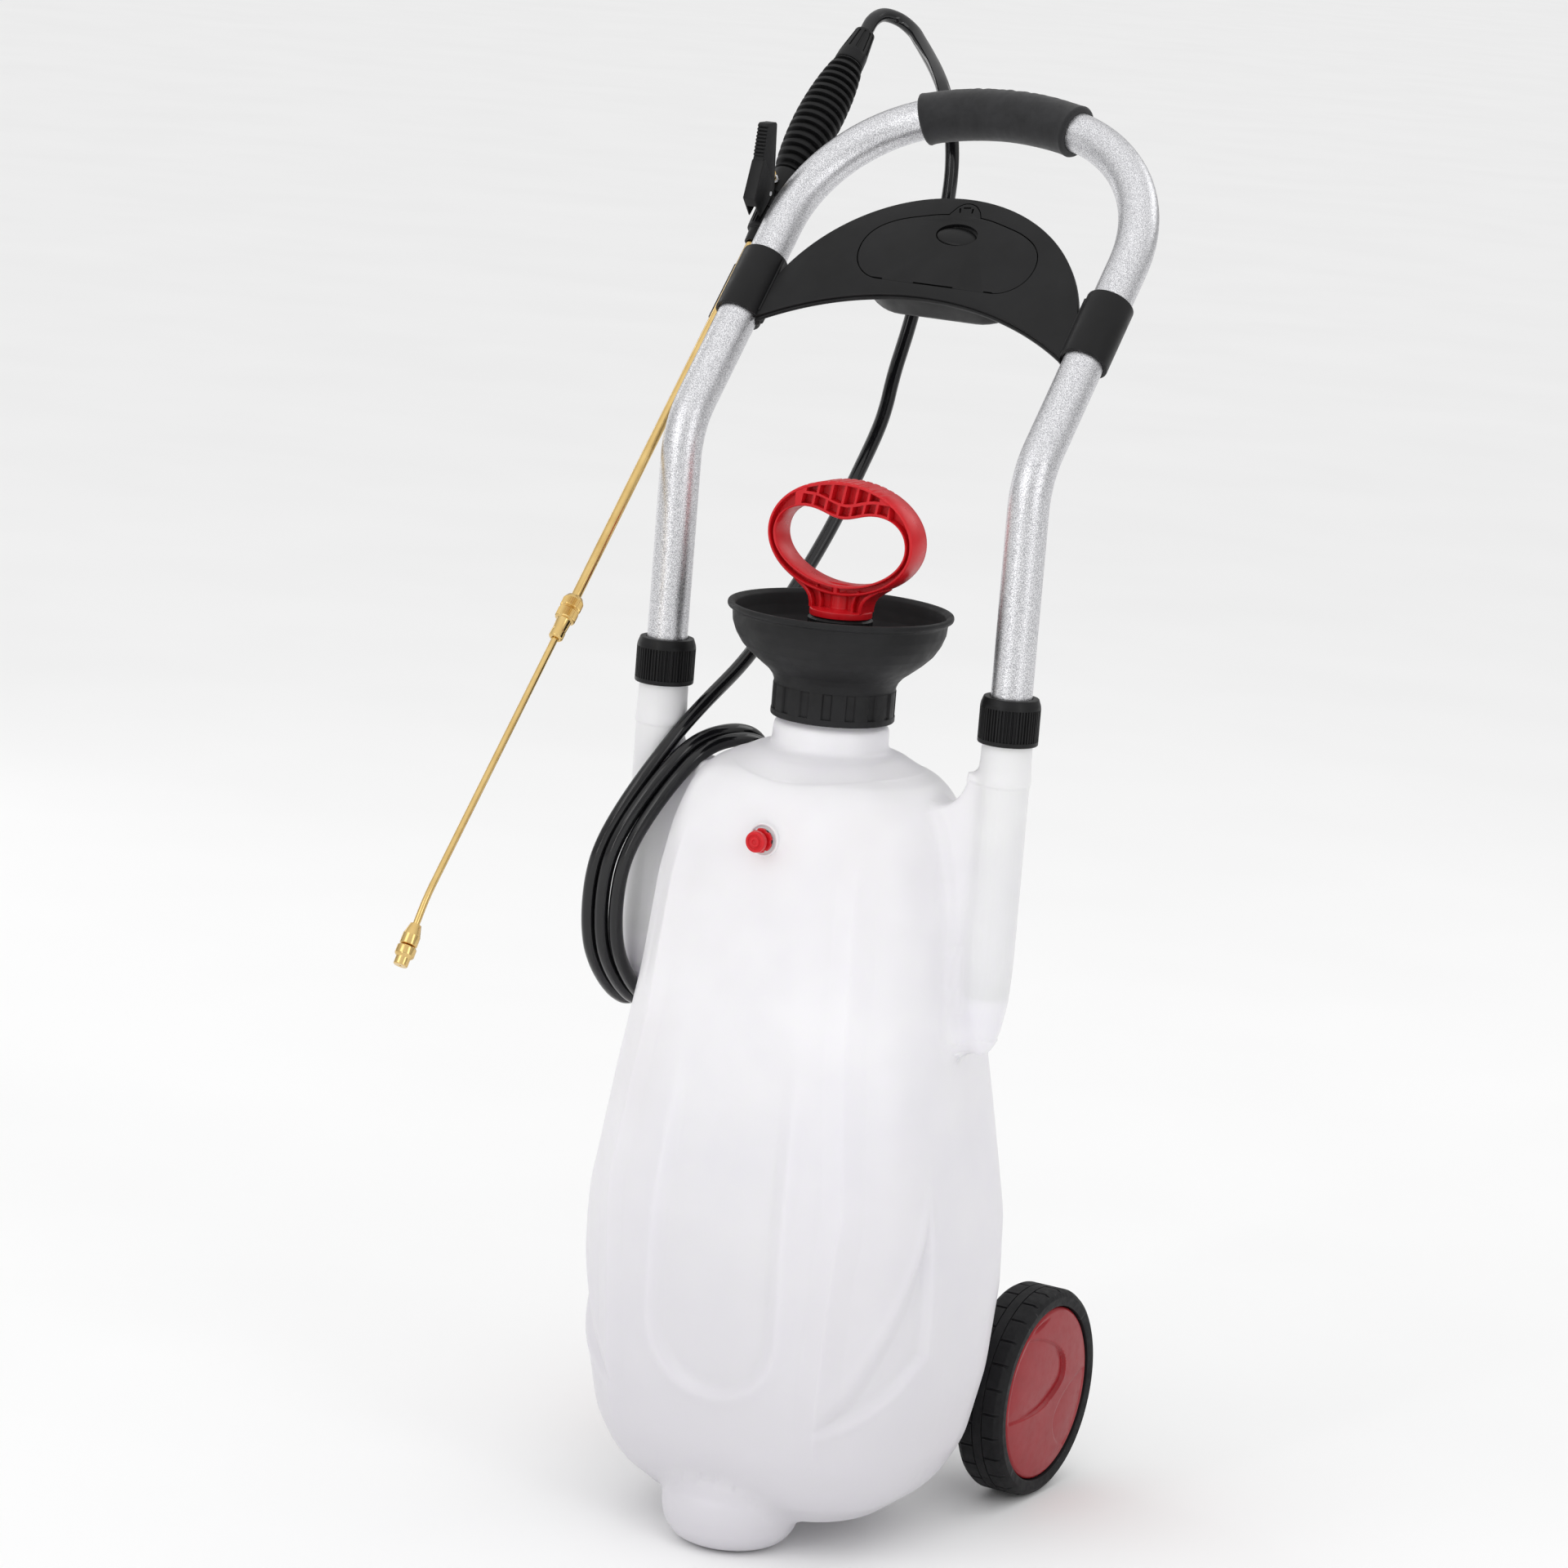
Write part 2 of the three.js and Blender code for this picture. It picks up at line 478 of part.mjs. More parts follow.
// A ring bent along the coil's middle line: wide sideways where it hangs, tall where it is draped.
function makeCoil() {
  const line = new THREE.CatmullRomCurve3(COIL_ROUTE, true, 'centripetal');
  const centre = new THREE.Vector3(-114, 6, 398);
  const geometry = new THREE.TorusGeometry(1, 0.5, 8, 26);
  const place = geometry.attributes.position;
  for (let i = 0; i < place.count; i++) {
    const turn = Math.atan2(place.getY(i), place.getX(i)) / (2 * Math.PI);
    const outward = (Math.hypot(place.getX(i), place.getY(i)) - 1) * 2;
    const sideways = place.getZ(i) * 2;
    const at = line.getPointAt((turn + 1) % 1);
    const draped = THREE.MathUtils.smoothstep(at.z, 440, 480);
    const radial = at.clone().sub(centre);
    radial.x = 0;
    radial.normalize();
    at.addScaledVector(radial, outward * (7 + draped));
    at.x -= sideways * (12 - 5 * draped);
    place.setXYZ(i, at.x, at.y, at.z);
  }
  geometry.deleteAttribute('normal');
  geometry.deleteAttribute('uv');
  const ring = mergeVertices(geometry, 1e-3);
  ring.computeVertexNormals();
  return ring;
}
add('hose_coil', makeCoil(), HOSE);

// ---------------------------------------------------------------- spray gun
// Local +Z runs up the gun from the brass tube to the hose, local -Y faces the trigger.
const gun = new THREE.Group();
gun.position.set(LANCE_X, LANCE_Y, LANCE_Z);
gun.rotation.x = -GUN_LEAN;
cart.add(gun);
const TRIGGER_PIN = { y: -13, z: 31 };

const nutOutline = [[3.3, 0], [4.6, 0], [5.4, 10], [7.4, 11], [8.2, 25], [6.4, 25], [6.4, 12], [3.3, 12]];
add('lance_nut', turned(nutOutline, 14),
  BLACK, gun);
function makeGunBody() {
  const barrel = turned([[0, 12.4], [6, 12.4], [6, 25.4], [8.6, 25.4], [9.2, 40], [10.5, 46], [10.5, 55],
    [7, 58],
    [7, 66], [0, 66]], 18);
  const lug = brick(-3, 3, -17, -5, 26, 37);
  const pinHole = rod(1.7, -10, 10, 10).rotateY(Math.PI / 2).translate(0, TRIGGER_PIN.y, TRIGGER_PIN.z);
  const channel = rod(2.6, 11, 70, 10);
  const stemHole = rod(1.9, 0, 30, 10).rotateX(Math.PI / 2).translate(0, 0, 44);
  return carve([barrel, lug], [pinHole, channel, stemHole]);
}
add('gun_body', makeGunBody(), BLACK, gun);

const bellows = [[7.3, 58.4], [9.6, 58.4]];
const RINGS = 5;
for (let i = 0; i < RINGS; i++) {
  const part = (i + 0.5) / RINGS;
  const r = 9.6 + 5.2 * Math.sin(Math.PI * part) ** 0.7;
  const z = 70 + 82 * part;
  bellows.push([r, z - 5], [r, z + 5]);
}
bellows.push([9.6, 153.5], [7.3, 153.5], [7.3, 66.6]);
add('gun_grip', turned(bellows, 14), RUBBER, gun);
add('grip_core', turned([[2.6, 66.8], [6.9, 66.8], [6.9, 160], [2.6, 160]], 12), BLACK, gun);
add('hose_nut', turned([[7.2, 153.9], [9.8, 153.9], [9.4, 160], [6.7, 181], [4.9, 181], [4.9, 176],
  [7.2, 162]], 16), BLACK, gun);

function makeTrigger() {
  const side = (points) => new THREE.Shape(points.map(([z, n]) => new THREE.Vector2(-n, z)));
  const lever = (shape, x0, x1) => new THREE.ExtrudeGeometry(shape, { depth: x1 - x0, bevelEnabled: false })
    .rotateX(Math.PI / 2).rotateZ(Math.PI / 2).translate(x0, 0, 0);
  const block = side([[13, 9], [15, 25.4], [38.8, 36.8], [56.3, 49], [64, 41.4], [46.6, 22.2], [36, 10]]);
  const body = lever(block, -4.4, 4.4);
  const slot = brick(-3.3, 3.3, -19, -3, 5, 48);
  const pinHole = rod(1.7, -10, 10, 10).rotateY(Math.PI / 2).translate(0, TRIGGER_PIN.y, TRIGGER_PIN.z);
  const clear = rod(12, 0, 70, 18);
  return carve([body], [slot, pinHole, clear]);
}
add('trigger', makeTrigger(), BLACK, gun);
add('trigger_pin', rod(1.5, -4.2, 4.2, 10).rotateY(Math.PI / 2)
  .translate(0, TRIGGER_PIN.y, TRIGGER_PIN.z), STEEL, gun);
add('valve_stem', turned([[0, 2.9], [1.6, 2.9], [1.6, 16], [3, 16.3], [3, 18], [0, 18]], 10)
  .rotateX(Math.PI / 2).translate(0, 0, 44), BRASS, gun);
add('valve_spring', turned(tubeProfile(2.1, 3, 11, 12.9), 10).rotateX(Math.PI / 2)
  .translate(0, 0, 44), STEEL, gun);

// ---------------------------------------------------------------- lance
// Local +Z runs up the lance to the gun, the plane of its tubes leans like the handle.
const lance = new THREE.Group();
lance.position.copy(gun.position);
lance.rotation.x = -LEAN;
cart.add(lance);
add('lance_outer', turned(tubeProfile(2.7, 3.1, -276, -0.4), 12), BRASS, lance);
add('lance_collar', turned([[2.3, -306], [3.6, -306], [4.4, -301], [4.6, -292], [6.2, -291], [6.4, -277],
  [5, -275.5], [3.3, -275.5], [3.3, -292], [2.3, -293]], 12), BRASS, lance);
const TIP = THREE.MathUtils.degToRad(9);
const NOZZLE_Z = -519;
const TIP_BEND_Z = -484;
const TIP_BEND_LENGTH = 18;
const tipStations = [new THREE.Vector3(0, 0, -250)];
for (const part of [0, 0.5, 1]) {
  const drop = TIP_BEND_LENGTH * part;
  tipStations.push(new THREE.Vector3(0, 0.5 * TIP * part * drop, TIP_BEND_Z - drop));
}
const tipEnd = tipStations[3].y + Math.tan(TIP) * (TIP_BEND_Z - TIP_BEND_LENGTH - NOZZLE_Z);
tipStations.push(new THREE.Vector3(0, tipEnd, NOZZLE_Z));
add('lance_inner', pipe(tipStations, 2.1, 10, 1.3), BRASS, lance);
const nozzle = new THREE.Group();
nozzle.position.set(0, tipEnd, NOZZLE_Z);
nozzle.rotation.x = TIP;
lance.add(nozzle);
add('nozzle_body', turned([[2.4, 8], [4.2, 7], [5.4, 0], [5.4, -5], [3, -6], [3, -13], [0, -13], [0, -0.4],
  [2.4, -0.4]], 14), BRASS, nozzle);
add('nozzle_cap', turned([[3.3, -5.6 - GAP], [6, -6.4], [6, -12.5], [4.4, -14], [4.4, -18.5], [0.8, -18.5],
  [0.8, -13.4], [3.3, -13.4]], 14), BRASS, nozzle);

// ---------------------------------------------------------------- axle and wheels
add('axle', rod(AXLE_R, -104, 104, 20).rotateY(Math.PI / 2).translate(0, AXLE_Y, AXLE_Z), STEEL);

const makeTyre = () => turned([[57, 1], [63.5, 0], [WHEEL_R, 4.5], [WHEEL_R, WHEEL_WIDTH - 4.5],
  [63.5, WHEEL_WIDTH],
  [57, WHEEL_WIDTH - 1]], 32);

for (const [word, side] of [['left', -1], ['right', 1]]) {
  const wheel = new THREE.Group();
  wheel.position.set(side * WHEEL_INNER_X, AXLE_Y, AXLE_Z);
  wheel.rotation.y = (side * Math.PI) / 2;   // local +Z points outward
  cart.add(wheel);
  add(`tyre_${word}`, makeTyre(), RUBBER, wheel);
  add(`wheel_rim_${word}`, turned([[5.3, 2], [11, 2], [11, 14], [51.5, 14], [51.5, 3], [56.6, 3], [56.6, 27],
    [50.5, 27], [50.5, 17], [11, 17], [11, 24], [5.3, 24]], 18), BLACK, wheel);
  add(`wheel_disc_${word}`, turned([[0, 28.4], [56.2, 27.4], [56.2, 30.5], [52.6, 32.3], [0, 33.5]], 28),
    RED, wheel);
  add(`axle_clip_${word}`, turned(tubeProfile(AXLE_R + 0.2, 9, 24.4, 25.8), 14), STEEL, wheel);
}

export default cart;
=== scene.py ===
"""Wheeled sprayer cart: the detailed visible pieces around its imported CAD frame.

Shapes are written in millimetres about the axis of the tank's neck (x = 0 and y = 0 on that axis,
z = 0 on the floor), the way the part is built, and row() takes them to the frame's metres.
"""
import json
import math
import bmesh
import bpy
import numpy as np
from mathutils import Matrix, Vector


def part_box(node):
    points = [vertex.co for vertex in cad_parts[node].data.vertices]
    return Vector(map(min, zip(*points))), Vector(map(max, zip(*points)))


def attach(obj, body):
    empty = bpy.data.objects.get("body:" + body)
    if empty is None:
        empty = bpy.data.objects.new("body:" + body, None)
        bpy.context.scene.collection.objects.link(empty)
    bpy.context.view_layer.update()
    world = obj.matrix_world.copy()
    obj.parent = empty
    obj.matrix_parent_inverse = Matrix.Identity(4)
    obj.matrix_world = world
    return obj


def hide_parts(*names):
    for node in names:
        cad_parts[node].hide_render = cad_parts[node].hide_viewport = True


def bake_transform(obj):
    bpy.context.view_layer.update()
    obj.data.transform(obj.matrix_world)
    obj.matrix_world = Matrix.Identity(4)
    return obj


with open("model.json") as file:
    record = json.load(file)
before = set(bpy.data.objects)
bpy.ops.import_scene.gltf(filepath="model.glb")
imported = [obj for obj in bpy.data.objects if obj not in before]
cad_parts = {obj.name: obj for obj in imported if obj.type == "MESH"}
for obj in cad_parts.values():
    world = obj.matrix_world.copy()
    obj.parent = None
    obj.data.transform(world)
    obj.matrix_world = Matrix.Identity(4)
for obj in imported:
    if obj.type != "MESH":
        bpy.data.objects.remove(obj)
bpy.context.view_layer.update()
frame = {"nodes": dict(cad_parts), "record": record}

# ------------------------------------------------------------------ places, from the CAD frame
MM = 0.001
TAU = 2 * math.pi


def middle(node):
    low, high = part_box(node)
    return (np.array(low) + np.array(high)) / 2


NECK = middle("funnel_cap") * (1, 1, 0)  # the neck axis where it meets the floor
LEG_X = middle("lock_nut_right")[0] / MM
AXLE = (middle("axle") - NECK) / MM
TYRE = (np.array(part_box("tyre_right")) - NECK) / MM  # lowest and highest corner
WHEEL_R = (TYRE[1][2] - TYRE[0][2]) / 2
LEAN = 41.0  # the handle's slant from the vertical, in degrees
GUN_LEAN = 44.0
TIP_LEAN = LEAN - 9.0
CLAMP = (0.0, 88.7, 776.9)  # top of the tray's clamp sleeves, on the handle's slanted plane
VALVE = (0.0, -73.5, 446.0)


def row(points):
    """Neck-axis millimetres to the row frame's metres."""
    return np.asarray(points, float) * MM + NECK


def leaned(at, degrees):
    """Local frame at a neck-axis point, leaned back about X."""
    return Matrix.Translation(at) @ Matrix.Rotation(-math.radians(degrees), 4, "X")


def shift(x, y, z):
    return Matrix.Translation((x, y, z))


def quarter(axis, turns=1):
    return Matrix.Rotation(turns * math.pi / 2, 4, axis)


def placed(matrix, points):
    m = np.array(matrix)
    return np.asarray(points, float) @ m[:3, :3].T + m[:3, 3]


TRAY = leaned(CLAMP, LEAN)
LANCE_X = (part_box("lance_outer")[0][0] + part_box("lance_outer")[1][0]) / 2 / MM
LANCE = (LANCE_X, 103.0, 780.3)
GUN = leaned(LANCE, GUN_LEAN)
WAND = leaned(LANCE, LEAN)
VALVE_AXIS = leaned(VALVE, -90)  # local +Z points out of the tank's front
OUTLET = tuple((middle("dip_tube") - NECK) / MM * (1, 1, 0) + (0, 0, 481))
OUTLET_AXIS = shift(OUTLET[0], OUTLET[1], 0)


def at_leg(side):
    """The axis of the left (-1) or right (1) leg of the handle, in its own local frame."""
    return shift(side * LEG_X, 0, 0)


def circle(steps):
    """Angles of evenly spaced points once round."""
    return np.linspace(0, TAU, steps, endpoint=False)


def smoothstep(low, high, x):
    t = np.clip((np.asarray(x, float) - low) / (high - low), 0, 1)
    return t * t * (3 - 2 * t)


# ------------------------------------------------------------------ camera and light
AZIMUTH, ELEVATION, ROLL = (math.radians(v) for v in (28.9, 11.05, 4.62))
CAMERA_DISTANCE = 3.2
TARGET = Vector((-0.02961, NECK[1], 0.4655))


def make_camera():
    back = Vector((math.sin(AZIMUTH) * math.cos(ELEVATION), -math.cos(AZIMUTH) * math.cos(ELEVATION),
                   math.sin(ELEVATION)))
    right = Vector((math.cos(AZIMUTH), math.sin(AZIMUTH), 0))
    up = right.cross(-back)
    axis_x = right * math.cos(ROLL) + up * math.sin(ROLL)
    axis_y = up * math.cos(ROLL) - right * math.sin(ROLL)
    data = bpy.data.cameras.new("camera")
    data.lens, data.sensor_width = 120, 36
    camera = bpy.data.objects.new("camera", data)
    turn = Matrix((axis_x, axis_y, back)).transposed().to_4x4()
    camera.matrix_world = Matrix.Translation(TARGET + back * CAMERA_DISTANCE) @ turn
    bpy.context.scene.collection.objects.link(camera)
    bpy.context.scene.camera = camera


def add_light(name, at, width, height, watts):
    data = bpy.data.lights.new(name, "AREA")
    data.shape, data.size, data.size_y = "RECTANGLE", width, height
    data.energy = watts
    light = bpy.data.objects.new(name, data)
    light.location = at
    light.rotation_euler = (TARGET - Vector(at)).to_track_quat("-Z", "Y").to_euler()
    bpy.context.scene.collection.objects.link(light)


make_camera()
add_light("key", (-1.0, -2.2, 1.9), 1.3, 1.5, 7)
add_light("strip", (-0.35, -2.6, 1.0), 0.12, 1.8, 6)
add_light("fill", (2.3, -0.9, 1.2), 0.8, 1.8, 7)
add_light("back", (0.9, 2.2, 2.0), 1.6, 1.0, 6)
add_light("side", (-2.2, 0.9, 1.1), 0.25, 1.7, 3)


def make_world():
    """White overhead, darker towards the horizon."""
    world = bpy.data.worlds.new("studio")
    world.use_nodes = True
    tree = world.node_tree
    background = tree.nodes["Background"]
    where = tree.nodes.new("ShaderNodeTexCoord")
    dot = tree.nodes.new("ShaderNodeVectorMath")
    dot.operation = "DOT_PRODUCT"
    dot.inputs[1].default_value = Vector((0.05, -0.2, 0.95)).normalized()
    span = tree.nodes.new("ShaderNodeMapRange")
    span.inputs["From Min"].default_value = -0.1
    span.inputs["To Min"].default_value = 0.38
    span.inputs["To Max"].default_value = 1.15
    tree.links.new(where.outputs["Generated"], dot.inputs[0])
    tree.links.new(dot.outputs["Value"], span.inputs["Value"])
    tree.links.new(span.outputs["Result"], background.inputs["Strength"])
    background.inputs["Color"].default_value = (1, 1, 1, 1)
    bpy.context.scene.world = world


make_world()
bpy.context.scene.view_settings.view_transform = "Standard"


# ------------------------------------------------------------------ materials
class Finish:
    """A Principled material whose patterns follow the piece's own coordinates, in metres."""

    def __init__(self, name, **inputs):
        self.material = bpy.data.materials.new(name)
        self.material.use_nodes = True
        self.tree = self.material.node_tree
        self.shader = self.tree.nodes["Principled BSDF"]
        self.where = self.tree.nodes.new("ShaderNodeTexCoord").outputs["Object"]
        for key, value in inputs.items():
            self.shader.inputs[key.replace("_", " ")].default_value = value

    def link(self, output, target):
        self.tree.links.new(output, target)
        return self

    def noise(self, size_mm, detail=3.0, stretch=(1, 1, 1), roughness=0.55):
        vector = self.where
        if stretch != (1, 1, 1):
            scale = self.tree.nodes.new("ShaderNodeMapping")
            scale.inputs["Scale"].default_value = stretch
            self.link(vector, scale.inputs["Vector"])
            vector = scale.outputs["Vector"]
        node = self.tree.nodes.new("ShaderNodeTexNoise")
        node.inputs["Scale"].default_value = 1 / (size_mm * MM)
        node.inputs["Detail"].default_value = detail
        node.inputs["Roughness"].default_value = roughness
        self.link(vector, node.inputs["Vector"])
        return node.outputs["Fac"]

    def range(self, value, low, high, from_low=0.3, from_high=0.7):
        node = self.tree.nodes.new("ShaderNodeMapRange")
        for key, number in (("From Min", from_low), ("From Max", from_high), ("To Min", low),
                            ("To Max", high)):
            node.inputs[key].default_value = number
        self.link(value, node.inputs["Value"])
        return node.outputs["Result"]

    def blend(self, value, first, second):
        node = self.tree.nodes.new("ShaderNodeMix")
        node.data_type = "RGBA"
        for socket, colour in ((node.inputs[6], first), (node.inputs[7], second)):
            if isinstance(colour, tuple):
                socket.default_value = (*colour, 1)
            else:
                self.link(colour, socket)
        self.link(value, node.inputs[0])
        return node.outputs[2]

    def colour(self, value, first, second):
        return self.link(self.blend(value, first, second), self.shader.inputs["Base Color"])

    def mottle(self, size_mm, detail, first, second):
        """Base colour that drifts between two colours."""
        return self.colour(self.range(self.noise(size_mm, detail), 0, 1), first, second)

    def gloss(self, value, low, high):
        return self.link(self.range(value, low, high), self.shader.inputs["Roughness"])

    def bump(self, value, depth_mm, strength=1.0):
        node = self.tree.nodes.new("ShaderNodeBump")
        node.inputs["Distance"].default_value = depth_mm * MM
        node.inputs["Strength"].default_value = strength
        self.link(value, node.inputs["Height"])
        if self.shader.inputs["Normal"].is_linked:
            self.link(self.shader.inputs["Normal"].links[0].from_socket, node.inputs["Normal"])
        return self.link(node.outputs["Normal"], self.shader.inputs["Normal"])

    def edges(self, low, high):
        """0 in hollows and on flats, 1 on worn outer edges."""
        node = self.tree.nodes.new("ShaderNodeNewGeometry")
        return self.range(node.outputs["Pointiness"], 0, 1, low, high)


def milky_plastic():
    f = Finish("milky_plastic", Subsurface_Weight=0.35, Subsurface_Scale=0.008, Specular_IOR_Level=0.4)
    f.shader.inputs["Subsurface Radius"].default_value = (1.0, 0.9, 1.1)
    cloud = f.noise(60, 2)
    tinted = f.blend(f.range(f.noise(95, 1, (1, 1, 0.5)), 0, 0.5), (0.80, 0.79, 0.835), (0.82, 0.80, 0.79))
    body = f.blend(f.range(cloud, 0, 1), tinted, (0.855, 0.845, 0.87))
    # painted shade: the base colour darkens towards the bottom, from 0.34 m down to 0.02 m above the floor,
    # standing in for the shade low on the tank
    height = f.tree.nodes.new("ShaderNodeSeparateXYZ")
    f.link(f.where, height.inputs["Vector"])
    f.colour(f.range(height.outputs["Z"], 0, 1, 0.02, 0.34), (0.655, 0.64, 0.675), body)
    f.gloss(f.noise(7, 3), 0.30, 0.42)
    return f.bump(f.noise(2.2, 2), 0.05, 0.5).bump(f.noise(24, 1), 0.6, 0.35).material


def black_plastic(name="black_plastic", base=0.006, rough=(0.34, 0.46), grain=0.9):
    f = Finish(name, Specular_IOR_Level=0.22)
    f.mottle(30, 3, (base, base, base * 1.06), (base * 1.5, base * 1.5, base * 1.6))
    f.gloss(f.noise(9, 3), *rough)
    return f.bump(f.noise(grain, 2), 0.03, 0.6).material


def foam():
    f = Finish("grip_foam", Sheen_Weight=0.15, Sheen_Roughness=0.6, Specular_IOR_Level=0.25)
    f.mottle(12, 3, (0.008, 0.008, 0.009), (0.016, 0.016, 0.018))
    f.gloss(f.noise(4, 2), 0.55, 0.72)
    return f.bump(f.noise(0.5, 2), 0.06, 0.6).bump(f.noise(7, 2, (2.4, 0.5, 0.5)), 0.25, 0.4).material


def red_plastic(name="red_plastic", base=(0.56, 0.008, 0.014), rough=(0.26, 0.38)):
    f = Finish(name, Subsurface_Weight=0.1, Subsurface_Scale=0.003, Specular_IOR_Level=0.32)
    f.shader.inputs["Subsurface Radius"].default_value = (1.0, 0.2, 0.15)
    f.mottle(14, 3, base, tuple(1.12 * channel for channel in base))
    f.gloss(f.noise(6, 3), *rough)
    return f.bump(f.noise(1.1, 2), 0.03, 0.5).material


def anodised_tube():
    f = Finish("anodised_tube", Metallic=0.92, Specular_IOR_Level=0.5)
    speck = f.noise(0.6, 2, roughness=0.7)
    f.colour(f.range(speck, 0, 1, 0.38, 0.62), (0.38, 0.38, 0.40), (0.94, 0.94, 0.96))
    f.gloss(f.noise(1.0, 2), 0.24, 0.44)
    return f.bump(speck, 0.14, 0.7).material


def brass():
    f = Finish("brass", Metallic=1.0)
    f.mottle(14, 2, (0.66, 0.45, 0.17), (0.74, 0.53, 0.22))
    f.gloss(f.noise(1.6, 3), 0.12, 0.20)
    return f.bump(f.noise(0.6, 2), 0.008, 0.3).material


def zinc_steel():
    f = Finish("zinc_steel", Metallic=1.0)
    f.mottle(4, 3, (0.50, 0.51, 0.53), (0.66, 0.66, 0.67))
    f.gloss(f.noise(2, 3), 0.28, 0.42)
    return f.bump(f.noise(0.5, 2), 0.02, 0.4).material


def hose_black():
    f = Finish("hose_black", Coat_Weight=0.25, Coat_Roughness=0.05, Specular_IOR_Level=0.35)
    f.mottle(25, 2, (0.004, 0.004, 0.005), (0.007, 0.007, 0.008))
    f.gloss(f.noise(5, 2), 0.10, 0.18)
    return f.bump(f.noise(6, 1), 0.08, 0.3).material


def tyre_black():
    f = Finish("tyre_black", Specular_IOR_Level=0.2)
    worn = f.blend(f.range(f.noise(18, 4), 0, 1), (0.006, 0.006, 0.007), (0.012, 0.012, 0.013))
    f.colour(f.edges(0.51, 0.60), worn, (0.035, 0.035, 0.036))
    f.gloss(f.noise(4, 3), 0.52, 0.70)
    return f.bump(f.noise(0.7, 3), 0.08, 0.6).material


MATERIALS = {
    "milky_plastic": milky_plastic(),
    "black_plastic": black_plastic(),
    "black_rubber": black_plastic("black_rubber", 0.006, (0.40, 0.55), 0.6),
    "grip_foam": foam(),
    "red_plastic": red_plastic(),
    "anodised_tube": anodised_tube(),
    "brass": brass(),
    "zinc_steel": zinc_steel(),
    "hose_black": hose_black(),
    "tyre_black": tyre_black(),
}
DISC_MATERIAL = red_plastic("disc_plastic", (0.26, 0.007, 0.012), (0.28, 0.40))
FUNNEL_MATERIAL = black_plastic("funnel_plastic", 0.010, (0.46, 0.60), 0.7)

for part in frame["record"]["subparts"]:
    for node_slot in frame["nodes"][part["node"]].material_slots:
        node_slot.material = MATERIALS[part["material_slot"]]


# ------------------------------------------------------------------ shapes: (points, faces) in mm
def grid_faces(rows, columns, wrap_rows=False, start=0):
    """Quads between rows of points, each row a closed ring."""
    faces = []
    for i in range(rows if wrap_rows else rows - 1):
        below, above = start + i * columns, start + (i + 1) % rows * columns
        for j in range(columns):
            k = (j + 1) % columns
            faces.append((below + j, below + k, above + k, above + j))
    return faces


def end_caps(rows, columns):
    """Faces that close the first and the last ring."""
    return [tuple(range(columns)), tuple(range(rows * columns - 1, (rows - 1) * columns - 1, -1))]


def merged(*shapes):
    points, faces, count = [], [], 0
    for shape_points, shape_faces in shapes:
        points.append(np.asarray(shape_points, float))
        faces += [tuple(i + count for i in face) for face in shape_faces]
        count += len(shape_points)
    return np.vstack(points), faces


def moved(shape, matrix):
    return placed(matrix, shape[0]), shape[1]


def soften(points, radius, closed=True, steps=3):
    """Rounds the corners of a polyline with small arcs."""
    points = np.asarray(points, float)
    rounded = []
    for i, at in enumerate(points):
        if not closed and i in (0, len(points) - 1):
            rounded.append(at)
            continue
        before, after = points[i - 1] - at, points[(i + 1) % len(points)] - at
        reach = [np.linalg.norm(before), np.linalg.norm(after)]
        cut = min(radius, 0.45 * min(reach))
        start, end = at + before / reach[0] * cut, at + after / reach[1] * cut
        for t in np.linspace(0, 1, steps + 1):
            rounded.append((1 - t) ** 2 * start + 2 * t * (1 - t) * at + t * t * end)
    return np.array(rounded)


def revolve(profile, segments=96, radius=0.5, ripple=None):
    """Turned surface about Z from [radius, z] points; ripple(r, z, angle) gives the radius there.

    A profile that starts and ends on the axis is closed by it, any other is a closed ring.
    """
    profile = np.asarray(profile, float)
    on_axis = profile[0][0] == 0 and profile[-1][0] == 0
    profile = soften(profile, radius, closed=not on_axis)
    ring = profile[1:-1] if on_axis else profile
    angle = circle(segments)
    r = np.repeat(ring[:, :1], segments, 1)
    z = np.repeat(ring[:, 1:], segments, 1)
    if ripple:
        r = ripple(r, z, angle[None, :])
    points = np.stack([r * np.cos(angle), r * np.sin(angle), z], -1).reshape(-1, 3)
    faces = grid_faces(len(ring), segments, wrap_rows=not on_axis)
    if on_axis:
        first, last = len(points), len(points) + 1
        top = (len(ring) - 1) * segments
        points = np.vstack([points, [0, 0, profile[0][1]], [0, 0, profile[-1][1]]])
        for j in range(segments):
            k = (j + 1) % segments
            faces += [(first, k, j), (last, top + j, top + k)]
    return points, faces


def grooves(count, share, low, high, depth, outside):
    """Grooves `depth` deep round a turned shape, between two heights and where r is above `outside`."""
    return lambda r, z, a: r - depth * (np.cos(a * count) > share) * (z > low) * (z < high) * (r > outside)


def ribs(count, depth, low, high, share=0.5, soft=0.25):
    """Ripple of upright ribs between two heights: the gaps between them are `depth` deeper."""
    def ripple(r, z, angle):
        wave = np.abs((angle / TAU * count) % 1 - 0.5) * 2
        gap = smoothstep(share - soft / 2, share + soft / 2, wave)
        return r - depth * gap * ((z > low) & (z < high))
    return ripple


def frames_along(path):
    """Unit side and up vectors carried along a path without twist."""
    tangent = np.gradient(path, axis=0)
    tangent /= np.linalg.norm(tangent, axis=1)[:, None]
    side = np.cross(tangent[0], [0.3, 0.2, 0.93])
    sides = []
    for t in tangent:
        side = side - t * side.dot(t)
        side = side / np.linalg.norm(side)
        sides.append(side)
    sides = np.array(sides)
    return sides, np.cross(tangent, sides)


